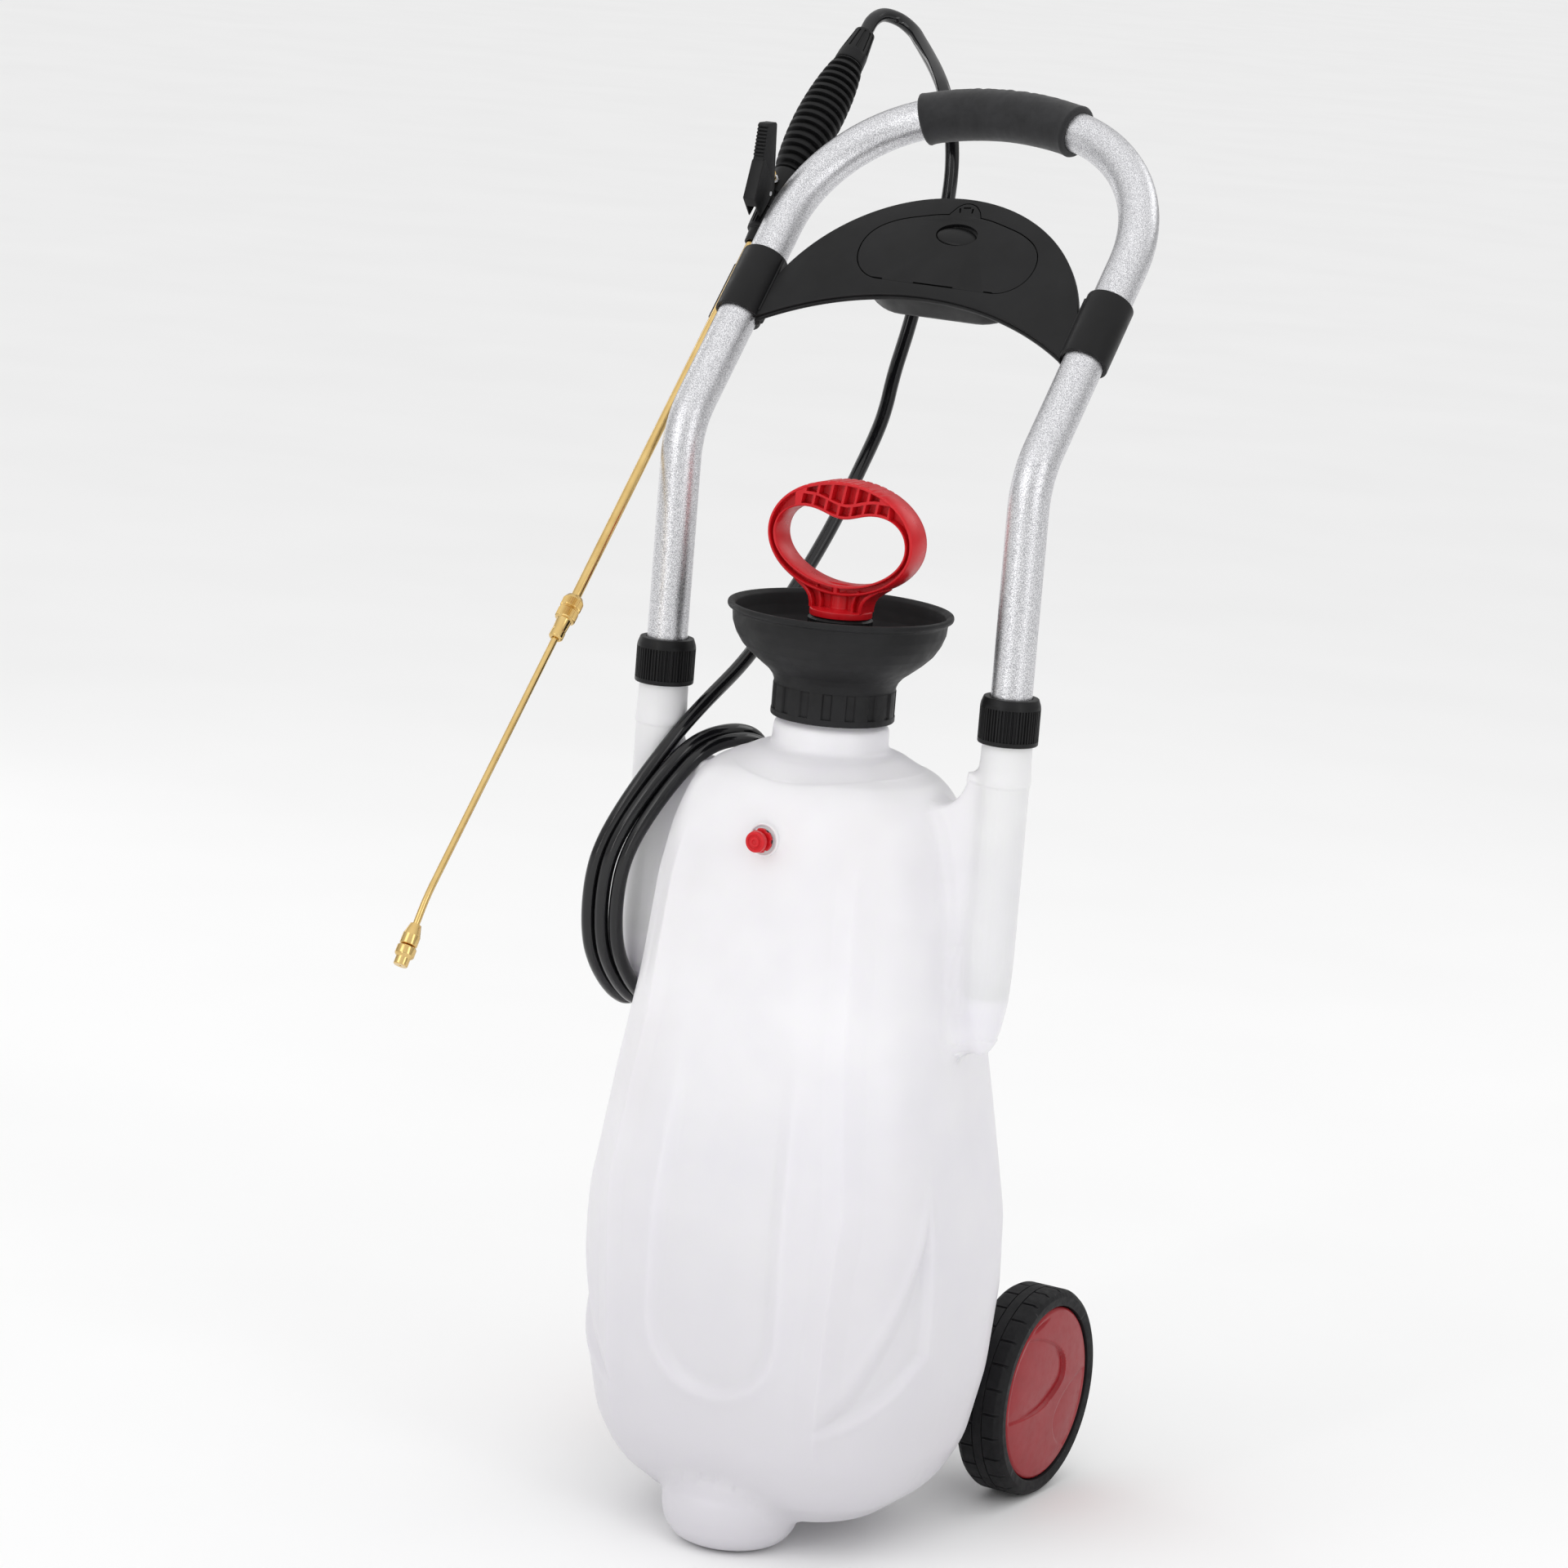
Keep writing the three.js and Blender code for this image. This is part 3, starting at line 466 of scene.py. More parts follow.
def tube(path, radius, segments=32, bore=0.0, shape=None):
    """Round tube along a path. shape(i, angle) adds to the radius."""
    path = np.asarray(path, float)
    side, up = frames_along(path)
    angle = circle(segments)
    radii = np.broadcast_to(np.asarray(radius, float), len(path))[:, None] + np.zeros(segments)
    if shape is not None:
        radii = radii + shape(np.arange(len(path))[:, None], angle[None, :])

    def skin(r):
        ring = np.cos(angle)[None, :, None] * side[:, None] + np.sin(angle)[None, :, None] * up[:, None]
        return (path[:, None] + r[..., None] * ring).reshape(-1, 3)

    if bore:
        inner = skin(np.full_like(radii, bore)).reshape(len(path), segments, 3)[::-1].reshape(-1, 3)
        return np.vstack([skin(radii), inner]), grid_faces(2 * len(path), segments, wrap_rows=True)
    return skin(radii), grid_faces(len(path), segments) + end_caps(len(path), segments)


def outline_normals(outline):
    """Unit normals that point out of a closed outline."""
    turn = np.roll(outline, -1, 0) - np.roll(outline, 1, 0)
    x, z = outline.T
    area = np.sum(x * np.roll(z, -1) - np.roll(x, -1) * z)
    outward = np.stack([turn[:, 1], -turn[:, 0]], 1) * np.sign(area)
    return outward / (np.linalg.norm(outward, axis=1)[:, None] + 1e-9)


def prism(outline, y0, y1, edge=0.5, back_edge=None, steps=3):
    """Plate across Y from a closed outline in X and Z, with rounded rims."""
    outline = np.asarray(outline, float)
    outward = outline_normals(outline)
    rings = []
    for y, direction, rim in ((y0, 1, edge), (y1, -1, edge if back_edge is None else back_edge)):
        stack = []
        for k in range(steps + 1):
            angle = math.pi / 2 * k / steps
            flat = outline - outward * rim * (1 - math.sin(angle))
            depth = np.full(len(flat), y + direction * rim * (1 - math.cos(angle)))
            stack.append(np.stack([flat[:, 0], depth, flat[:, 1]], 1))
        rings += stack if direction > 0 else stack[::-1]
    count, rows = len(outline), len(rings)
    return np.vstack(rings), grid_faces(rows, count) + end_caps(rows, count)


def grown(outline, by):
    """Outline moved outward by a distance."""
    return outline + outline_normals(outline) * by


def ellipse(x, z, half_x, half_z, steps=72):
    angle = circle(steps)
    return np.stack([x + half_x * np.cos(angle), z + half_z * np.sin(angle)], 1)


def strip(points, width):
    """Outline of a band of constant width along a flat line."""
    points = np.asarray(points, float)
    along = np.gradient(points, axis=0)
    along /= np.linalg.norm(along, axis=1)[:, None]
    across = np.stack([-along[:, 1], along[:, 0]], 1) * width / 2
    return np.vstack([points + across, (points - across)[::-1]])


def box(x0, x1, y0, y1, z0, z1, edge=0.3):
    return prism(soften([(x0, z0), (x1, z0), (x1, z1), (x0, z1)], edge * 2), y0, y1, edge)


def spline(points, spacing, closed=False):
    """Centripetal Catmull-Rom line through the points, resampled evenly."""
    points = np.asarray(points, float)
    if closed:
        knots = np.vstack([points[-1], points, points[:2]])
    else:
        knots = np.vstack([2 * points[0] - points[1], points, 2 * points[-1] - points[-2]])
    dense = []
    for i in range(1, len(knots) - 2):
        p0, p1, p2, p3 = knots[i - 1:i + 3]
        t1 = np.linalg.norm(p1 - p0) ** 0.5
        t2 = t1 + np.linalg.norm(p2 - p1) ** 0.5
        t3 = t2 + np.linalg.norm(p3 - p2) ** 0.5
        t = np.linspace(t1, t2, 24, endpoint=False)[:, None]
        a1, a2 = (t1 - t) / t1 * p0 + t / t1 * p1, (t2 - t) / (t2 - t1) * p1 + (t - t1) / (t2 - t1) * p2
        a3 = (t3 - t) / (t3 - t2) * p2 + (t - t2) / (t3 - t2) * p3
        b1, b2 = (t2 - t) / t2 * a1 + t / t2 * a2, (t3 - t) / (t3 - t1) * a2 + (t - t1) / (t3 - t1) * a3
        dense.append((t2 - t) / (t2 - t1) * b1 + (t - t1) / (t2 - t1) * b2)
    dense = np.vstack(dense + [points[:1] if closed else points[-1:]])
    return even(dense, spacing)


def even(line, spacing):
    length = np.concatenate([[0], np.cumsum(np.linalg.norm(np.diff(line, axis=0), axis=1))])
    wanted = np.linspace(0, length[-1], max(2, int(round(length[-1] / spacing)) + 1))
    return np.stack([np.interp(wanted, length, line[:, k]) for k in range(3)], 1)


# ------------------------------------------------------------------ objects
def make(name, shape, place=None, sharp=38):
    """Object in the row frame from a shape in millimetres, its normals outward."""
    points = shape[0] if place is None else placed(place, shape[0])
    mesh = bpy.data.meshes.new(name)
    mesh.from_pydata(row(points).tolist(), [], shape[1])
    work = bmesh.new()
    work.from_mesh(mesh)
    bmesh.ops.recalc_face_normals(work, faces=work.faces)
    if work.calc_volume(signed=True) < 0:
        bmesh.ops.reverse_faces(work, faces=work.faces)
    work.to_mesh(mesh)
    work.free()
    obj = bpy.data.objects.new(name, mesh)
    bpy.context.scene.collection.objects.link(obj)
    shade(obj, sharp)
    return obj


def shade(obj, sharp):
    obj.data.shade_smooth()
    obj.data.set_sharp_from_angle(angle=math.radians(sharp))


def bake(obj):
    """Applies the object's modifiers."""
    scene = bpy.context.evaluated_depsgraph_get()
    mesh = bpy.data.meshes.new_from_object(obj.evaluated_get(scene))
    obj.modifiers.clear()
    obj.data = mesh


def combine(obj, operation, *others):
    """Boolean with other objects, which it uses up."""
    for other in others:
        modifier = obj.modifiers.new("solid", "BOOLEAN")
        modifier.operation, modifier.solver, modifier.object = operation, "MANIFOLD", other
        bake(obj)
        bpy.data.objects.remove(other)
    return obj


def fuse(obj, shapes, place=None):
    return combine(obj, "UNION", *[make("part", shape, place) for shape in shapes])


def carve(obj, shapes, place=None):
    return combine(obj, "DIFFERENCE", *[make("cut", shape, place) for shape in shapes])


def finish_piece(obj, slot, body, *nodes, material=None, sharp=38):
    """Gives the piece its material and body, and puts it in place of the CAD nodes."""
    shade(obj, sharp)
    obj.data.materials.clear()
    obj.data.materials.append(material or MATERIALS[slot])
    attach(obj, body)
    if nodes:
        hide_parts(*nodes)
    return obj


def piece(name, shape, slot, body, *nodes, place=None, material=None, sharp=38):
    return finish_piece(make(name, shape, place), slot, body, *nodes, material=material, sharp=sharp)


# ------------------------------------------------------------------ hose: lead, three turns, run to the gun
HOSE_R = 4.5
LEAD_ROUTE = [(-47.5, 60, 492.6), (-54, 59.5, 492), (-60, 58.5, 490.5)]
COIL_ROUTE = [(-85, 0, 488.5), (-79, 20, 488), (-72, 36, 487.5), (-70, 54, 479), (-82, 70, 440),
              (-106, 64, 375),
              (-124, 14, 311), (-127, -32, 346), (-122, -42, 405), (-104, -30, 453), (-91, -13, 479)]
HOSE_ROUTE = [(-99, -9, 500), (-95.5, 7, 505.5), (-93, 28, 515), (-88, 50, 533), (-79, 86, 574),
              (-72, 110, 608),
              (-67, 130, 641), (-65, 154, 676), (-66, 167, 704), (-66, 179, 728), (-65, 188, 752),
              (-60, 191, 775), (-54, 194.5, 805), (-53, 196.5, 830), (-55.5, 199, 848.5), (-61, 203, 865.5),
              (-71.4, 212.2, 880.6), (-84.1, 225.3, 890.5), (-98.7, 240.2, 899), (-113.6, 253.3, 908),
              (-124.2, 259.7, 915.2), (-132.2, 258.8, 920), (-138.2, 252, 922.6), (-141, 243.5, 921.6),
              (-141, 235.6, 917.2), (-141, 229.5, 911.3)]
TURNS = 3
COIL_PITCH = 9.3  # from one turn to the next where they hang side by side
DRAPE_LOW, DRAPE_HIGH = 425, 478  # the turns settle onto the web between these heights
PILE_STEP, PILE_DROP, PILE_SQUEEZE = 4.5, 2.2, 0.2  # how they pile up there
RELAX_REACH, RELAX_ROUNDS = 32, 60  # how the joins between the three runs are evened out
COIL_CENTRE = np.array([-114.0, 6.0, 398.0])
COIL_FROM, COIL_TO = 0.19, TURNS - 0.075  # in turns, counted from the top of the saddle


def coil_line():
    """Turns that hang side by side, and pile up where they cross the web between tank and socket."""
    ring = spline(COIL_ROUTE, 2.0, closed=True)[:-1]
    count = len(ring)
    line = []
    for step in range(int(COIL_FROM * count), int(COIL_TO * count)):
        at = ring[step % count]
        turn = step / count
        draped = smoothstep(DRAPE_LOW, DRAPE_HIGH, at[2])
        outward = (at - COIL_CENTRE) * (0, 1, 1)
        outward /= np.linalg.norm(outward)
        slot = turn - TURNS / 2
        sideways = -slot * COIL_PITCH * (1 - PILE_SQUEEZE * draped)
        lift = 1.5 * np.sin(slot * 2.2) * (1 - draped) + draped * (PILE_STEP * slot - PILE_DROP)
        line.append(at + outward * lift + np.array([1, 0, 0]) * sideways)
    return np.array(line)


def relaxed(line, joins, reach, rounds):
    """Evens out the line within a distance of each join, with the ends held."""
    line = line.copy()
    near = np.max([np.exp(-(np.linalg.norm(line - join, axis=1) / reach) ** 2) for join in joins], axis=0)
    for _ in range(rounds):
        line[1:-1] += 0.5 * near[1:-1, None] * ((line[:-2] + line[2:]) / 2 - line[1:-1])
    return line


def hose_line():
    """Lead, coil and run on one curve. The end of the coil stands in for the run's first point."""
    coil = coil_line()
    route = even(np.vstack([spline(LEAD_ROUTE, 3), coil, spline(HOSE_ROUTE[1:], 3)]), 4.0)
    route = relaxed(route, (coil[0], coil[-1], HOSE_ROUTE[1], LEAD_ROUTE[-1]), RELAX_REACH, RELAX_ROUNDS)
    return spline(np.vstack([route[:-1:3], route[-1:]]), 2.5)


HOSE_LINE = hose_line()
hose = make("spray_hose", tube(HOSE_LINE, HOSE_R, 24))
hose.data.materials.append(MATERIALS["hose_black"])
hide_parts("supply_hose", "hose_lead", "hose_coil")
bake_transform(hose)

# ------------------------------------------------------------------ tank
# Rounded sections of the blow-moulded body: height, half width, half depth, centre y, squareness.
BODY = np.array([
    (22, 72, 62, 8, 2.6), (28, 85, 73, 8, 2.7), (42, 99, 84, 8, 2.8), (65, 111, 94, 8, 2.8),
    (110, 120, 102, 8, 2.8), (165, 124, 105, 8, 2.8), (210, 123, 105, 6, 2.8), (285, 112, 94, 3, 2.8),
    (350, 101, 84, 1, 2.8), (410, 96, 78, 0.5, 2.7), (442, 90, 73, 0, 2.6), (465, 83, 67, 0, 2.4),
    (480, 72, 59, 0, 2.3), (488, 58, 49, 0, 2.1), (493, 37, 36, 0, 2)], float)
SOCKET = [(0, 322), (6, 325), (11.5, 336), (14.6, 356), (15.5, 380), (15.5, 514), (15, 515), (15, 533),
          (0, 533)]
WEB = [(70, 465), (80, 473), (87.5, 473.5), (95, 479), (102, 494), (110, 494), (118, 345), (113, 330),
       (100, 322), (80, 330)]
LEFT_WEB_TOP = 474  # lower than the right web: the hose lies over it
FOOT = [(0, 0), (26, 0), (35, 4), (41, 12), (43.5, 23), (42, 34), (30, 46), (0, 46)]
AXLE_LUG = [(60, 48), (150, 47), (168, 48.5), (179, 56), (182, 66), (178, 76), (166, 82), (110, 100),
            (60, 120)]
NECK_BORE_R, LEG_BORE_R, AXLE_BORE_R, VALVE_BORE_R = 25, 13, 5.2, 4.3
OUTLET_BORE_R, OUTLET_SEAT_R = 6.4, 10.9
VOXEL = 1.7 * MM
CREASE_DEPTH, CREASE_HALF = 3.1, 12
CAVITY_INSET = 8.0
CLOSING = 7.0  # hollows sharper than this radius are filled, as in blow moulding


def body_loft(inset, low, high, segments):
    """Closed loft through the body's sections, their sizes smoothed over the height."""
    heights = np.linspace(low, high, int((high - low) / 6))
    knots = BODY[:, 0]
    fine = np.linspace(knots[0], knots[-1], 239)
    padded = [np.pad(np.interp(fine, knots, BODY[:, k]), 3, "edge") for k in range(1, 5)]
    sizes = [np.convolve(column, np.ones(7) / 7, "valid") for column in padded]
    rings = []
    for z in heights:
        size = [np.interp(z, fine, column) for column in sizes]
        angle = circle(segments)
        c, s = np.cos(angle), np.sin(angle)
        x = (size[0] - inset) * np.sign(c) * np.abs(c) ** (2 / size[3])
        y = (size[1] - inset) * np.sign(s) * np.abs(s) ** (2 / size[3]) + size[2]
        rings.append(np.stack([x, y, np.full(segments, z)], 1))
    return np.vstack(rings), grid_faces(len(rings), segments) + end_caps(len(rings), segments)


def along_x(shape):
    return moved(shape, quarter("Y"))


def rod(r, z0, z1, segments=48):
    return revolve([(0, z0), (r, z0), (r, z1), (0, z1)], segments, 0.02)


def tank_relief(p, n):
    """How far each point of the body moves along its normal: recess, ridges and side hollows."""
    x, y, z = p.T
    front = smoothstep(0.25, 0.6, -n[:, 1])
    # round-ended panel down the middle of the front, its rim standing a little proud
    half = 44 - 5 * smoothstep(180, 330, z)
    bottom = np.hypot(x - 2, np.minimum(z - 148, 0))
    inside = half - np.where(z < 148, bottom, np.abs(x - 2))
    fade = 1 - smoothstep(235, 340, z)
    move = front * fade * (-3.4 * smoothstep(-2, 9, inside) + 1.3 * np.exp(-((inside + 2) / 5) ** 2))
    # long crease down each front corner, from the shoulder to the foot
    crease = np.interp(z, [47, 228, 326, 446], [69, 80, 68, 60])
    near = np.maximum(0, 1 - np.abs(np.abs(x) - crease) / CREASE_HALF)
    fold = CREASE_DEPTH * near ** 1.3 * smoothstep(0.05, 0.4, -n[:, 1]) * smoothstep(50, 90, z)
    move += fold * (1 - smoothstep(410, 455, z))
    # triangular hollow low on each side, with a bright lower edge
    corners = np.array([(-40, 228), (-88, 84), (-34, 140)], float)
    depth = np.full(len(p), 1e9)
    for i in range(3):
        a, b = corners[i], corners[(i + 1) % 3]
        along = (b - a) / np.linalg.norm(b - a)
        depth = np.minimum(depth, along[0] * (z - a[1]) - along[1] * (y - a[0]))
    side = smoothstep(60, 85, np.abs(x))
    move += side * (-3.2 * smoothstep(-1, 7, depth) + 0.9 * np.exp(-((depth + 2.5) / 3) ** 2))
    # shallow hollow in the flank below each socket
    flank = side * np.exp(-((y - 6) / 30) ** 2) * np.exp(-((z - 300) / 45) ** 2)
    return move - 1.5 * flank * (n[:, 2] > -0.4)


def skin(obj, smoothing):
    """Turns overlapping shells into one even, smoothed surface."""
    remesh = obj.modifiers.new("skin", "REMESH")
    remesh.mode, remesh.voxel_size, remesh.adaptivity = "VOXEL", VOXEL, 0
    bake(obj)
    soft = obj.modifiers.new("soft", "SMOOTH")
    soft.factor, soft.iterations = 0.5, smoothing
    bake(obj)


def move_surface(obj, distance):
    """Moves every point along its normal by distance(point, normal) in millimetres."""
    mesh = obj.data
    points, normals = np.empty(len(mesh.vertices) * 3), np.empty(len(mesh.vertices) * 3)
    mesh.vertices.foreach_get("co", points)
    mesh.vertices.foreach_get("normal", normals)
    points, normals = points.reshape(-1, 3), normals.reshape(-1, 3)
    points = points + normals * MM * distance((points - NECK) / MM, normals)[:, None]
    mesh.vertices.foreach_set("co", points.reshape(-1))
    mesh.update()


def closing_share(points):
    """How much of CLOSING applies at each point: none beside the neck, so its foot stays crisp."""
    from_axis, z = np.hypot(points[:, 0], points[:, 1]), points[:, 2]
    beside_neck = smoothstep(60, 45, from_axis) * smoothstep(470, 480, z)
    return (1 - smoothstep(490, 504, z)) * (1 - beside_neck)


def make_tank():
    neck = [(0, 480), (36.4, 480), (36.2, 492), (35.6, 498), (35.4, 509), (30.5, 510.5), (30, 531), (0, 531)]
    shapes = [body_loft(0, 22, 493, 160), revolve(neck, 120, 1.0)]
    shapes.append(moved(revolve(FOOT, 96, 3), shift(0, -NECK[1] / MM, 0)))
    for side in (-1, 1):
        shapes.append(moved(revolve(SOCKET, 80, 3), at_leg(side)))
        web = np.array(WEB, float)
        if side < 0:
            web[:, 1] = np.minimum(web[:, 1], LEFT_WEB_TOP)
        shapes.append(prism(web * (side, 1), -11, 11, 0.5))
        lug = moved(prism(soften(AXLE_LUG, 6), -8, 8, 2), quarter("Z"))
        shapes.append(moved(lug, shift(side * 62, 0, 0)))
    shapes.append(moved(rod(11, 440, OUTLET[2]), OUTLET_AXIS))
    shapes.append(moved(rod(10, -25, 0), VALVE_AXIS))
    tank = make("tank", merged(*shapes))
    skin(tank, 9)
    move_surface(tank, lambda p, n: CLOSING * closing_share(p))
    skin(tank, 3)
    move_surface(tank, lambda p, n: -CLOSING * closing_share(p))
    move_surface(tank, tank_relief)
    # the hollow inside, and the bores for pump, legs, axle, valve and dip tube
    hollow = make("hollow", body_loft(CAVITY_INSET, 31, 478, 72))
    fuse(hollow, [rod(NECK_BORE_R, 466, 540), moved(rod(OUTLET_BORE_R, 440, 500), OUTLET_AXIS),
                  moved(rod(OUTLET_SEAT_R, OUTLET[2], 506), OUTLET_AXIS),
                  moved(rod(VALVE_BORE_R, -30, 20), VALVE_AXIS)])
    axle_bore = moved(along_x(rod(AXLE_BORE_R, -90, 90)), Matrix.Translation(AXLE))
    combine(tank, "DIFFERENCE", hollow, make("axle_bore", axle_bore))
    for side in (-1, 1):
        carve(tank, [moved(rod(LEG_BORE_R, 360, 540), at_leg(side))])
    ring = revolve([(8.6, -4), (10.4, -4), (10.4, 0.4), (9.9, 0.9), (9.1, 0.9), (8.6, 0.4)], 64, 0.2)
    fuse(tank, [ring], VALVE_AXIS)
    return finish_piece(tank, "milky_plastic", "tank", "tank_shell", sharp=60)


make_tank()

# ------------------------------------------------------------------ lock nuts
for word, side in (("left", -1), ("right", 1)):
    nut = revolve([(15.8, 515.3), (17.9, 515.3), (18.3, 516), (18.3, 518), (18.3, 518.2), (18.3, 537.4),
                   (18.3, 537.6), (18, 539.5), (16.6, 543.4), (13, 543.6), (13, 539), (15.8, 539)],
                  480, 0.35, ribs(56, 1.0, 518.1, 537.5, 0.5, 0.4))
    piece(f"nut_{word}", nut, "black_plastic", f"nut_{word}", f"lock_nut_{word}",
          place=at_leg(side))

# ------------------------------------------------------------------ handle
TUBE_R, TUBE_BORE_R = 12.5, 11
GRIP_R, GRIP_BORE_R = 16.2, 12.8
GRIP_SPAN = (-60.5, 48.5)  # where the sleeve starts and ends, in x
LEG_END_Z = 452.0
BEND_CORNER_Z = 674.8
BEND_R = 55.0
LOOP_START, LOOP_CORNER_R, LOOP_CROWN_R = 24.5, 100.0, 180.0
CROWN_HALF = math.asin((LEG_X - LOOP_CORNER_R) / (LOOP_CROWN_R - LOOP_CORNER_R))
CROWN_CENTRE = LOOP_START - (LOOP_CROWN_R - LOOP_CORNER_R) * math.cos(CROWN_HALF)


def handle_line():
    """Middle line of the handle tube, from the right leg round to the left one."""
    lean, half = math.radians(LEAN), []
    half.append((LEG_X, 0, LEG_END_Z))
    for angle in np.linspace(0, lean, 16):
        z = BEND_CORNER_Z - BEND_R * math.tan(lean / 2) + BEND_R * math.sin(angle)
        half.append((LEG_X, BEND_R * (1 - math.cos(angle)), z))
    for angle in np.linspace(0, math.pi / 2 - CROWN_HALF, 30):
        x = LEG_X - LOOP_CORNER_R + LOOP_CORNER_R * math.cos(angle)
        half.append(tuple(placed(TRAY, [(x, 0, LOOP_START + LOOP_CORNER_R * math.sin(angle))])[0]))
    for angle in np.linspace(CROWN_HALF, 0, 8)[1:]:
        flat = (LOOP_CROWN_R * math.sin(angle), 0, CROWN_CENTRE + LOOP_CROWN_R * math.cos(angle))
        half.append(tuple(placed(TRAY, [flat])[0]))
    half = np.array(half)
    return even(np.vstack([half, (half * (-1, 1, 1))[-2::-1]]), 3.0)


HANDLE_LINE = handle_line()
piece("tube", tube(HANDLE_LINE, TUBE_R, 56, bore=TUBE_BORE_R), "anodised_tube", "handle", "handle_tube")


def make_grip():
    """Foam sleeve, a little fuller at its ends, with fine wrinkles where it is bent."""
    crown = HANDLE_LINE[(HANDLE_LINE[:, 2] > 840)]
    crown = crown[np.argsort(crown[:, 0])]
    crown = even(crown[(crown[:, 0] > GRIP_SPAN[0]) & (crown[:, 0] < GRIP_SPAN[1])], 0.8)
    count = len(crown)
    t = np.linspace(0, 1, count)
    rim = np.minimum(t, 1 - t) * (count - 1) * 0.8
    radius = GRIP_R + 0.5 * np.exp(-(rim / 3.5) ** 2) - 1.6 * np.clip(1 - rim / 1.6, 0, 1) ** 2
    random = np.random.default_rng(7)
    waves = [(random.uniform(5, 14), random.uniform(0, TAU), random.uniform(0.5, 1)) for _ in range(9)]

    def wrinkle(i, angle):
        inner = np.exp(-((np.cos(angle - INNER_SIDE) - 1) / 0.35) ** 2)
        low = inner * np.exp(-((i / count - 0.5) / 0.32) ** 2)
        wave = sum(a * np.sin(i * 0.8 / w * TAU + p + 1.5 * np.sin(angle * 2 + p)) for w, p, a in waves)
        return 0.10 * low * wave + 0.05 * np.sin(i / 9 + 3 * np.sin(angle))
    return tube(crown, radius, 96, bore=GRIP_BORE_R, shape=wrinkle)


INNER_SIDE = 4.2
grip = piece("grip", make_grip(), "grip_foam", "handle", "handle_grip")

# ------------------------------------------------------------------ tool tray and its lid
LID_MIDDLE_X = 2.5
LID_HALF = [(0, 44.6), (15, 43.4), (29, 40), (43, 35.3), (53, 29), (58.5, 21.8), (60.5, 13), (58.8, 3.4),
            (53.7, -4), (46.2, -8.7), (37, -10.3), (18, -10.4), (0, -10.4)]
LATCH = [(13, 40), (13, 43.5), (10.4, 48.7), (6.5, 52.6), (2, 53.9), (-2, 53.2), (-5.2, 50.7), (-6.8, 47.8),
         (-9.1, 44), (-9.1, 40)]
RECESS = (2.3, 29.5, 14.2, 8.3)  # finger recess: middle x and z, half width, half height
LID_FRONT, LID_BACK = -4, -1.5
LID_GAP, LATCH_GAP = 0.6, 0.5
BOX_HALF, BOX_LOW, BOX_HIGH, BOX_DEPTH = 60, -17.5, 50, 24  # the box behind the panel
BOX_WALL, BOX_FLOOR = 4, 2.5
LIP_R, PLATE_R = 195.6, 194.2  # lower edges of the panel's front lip and of the plate behind it
SLEEVE_R, SLEEVE_LOW, SLEEVE_TOP = 15, -49.4, -4
CLAMP_BLOCK_X, CLAMP_BLOCK_HALF = 112, 7
TRAY_HALF = 106.0
TRAY_TOP = (-53.0, 110.5)   # height of the arc's centre, its radius
TRAY_LOW = -215.0


def stadium(half, low, high, steps=24):
    r = (high - low) / 2
    turn = np.linspace(-math.pi / 2, math.pi / 2, steps)
    right = np.stack([half - r + r * np.cos(turn), (low + high) / 2 + r * np.sin(turn)], 1)
    return np.vstack([right, (right * (-1, 1))[::-1]])


def crescent(low_r, steps=70):
    x = np.linspace(-TRAY_HALF, TRAY_HALF, steps)
    top = np.stack([x, TRAY_TOP[0] + np.sqrt(TRAY_TOP[1] ** 2 - x * x)], 1)
    low = np.stack([x, TRAY_LOW + np.sqrt(low_r ** 2 - x * x)], 1)
    return np.vstack([low, top[::-1]])


def lid_outline():
    """The lid is symmetric about its own middle, a little to the right of the tray's."""
    half = spline([(x, 0, z) for x, z in LID_HALF], 1.5)[:, [0, 2]]
    return np.vstack([half, (half * (-1, 1))[-2:0:-1]]) + (LID_MIDDLE_X, 0)


def latch_outline():
    return soften(LATCH, 1.5)


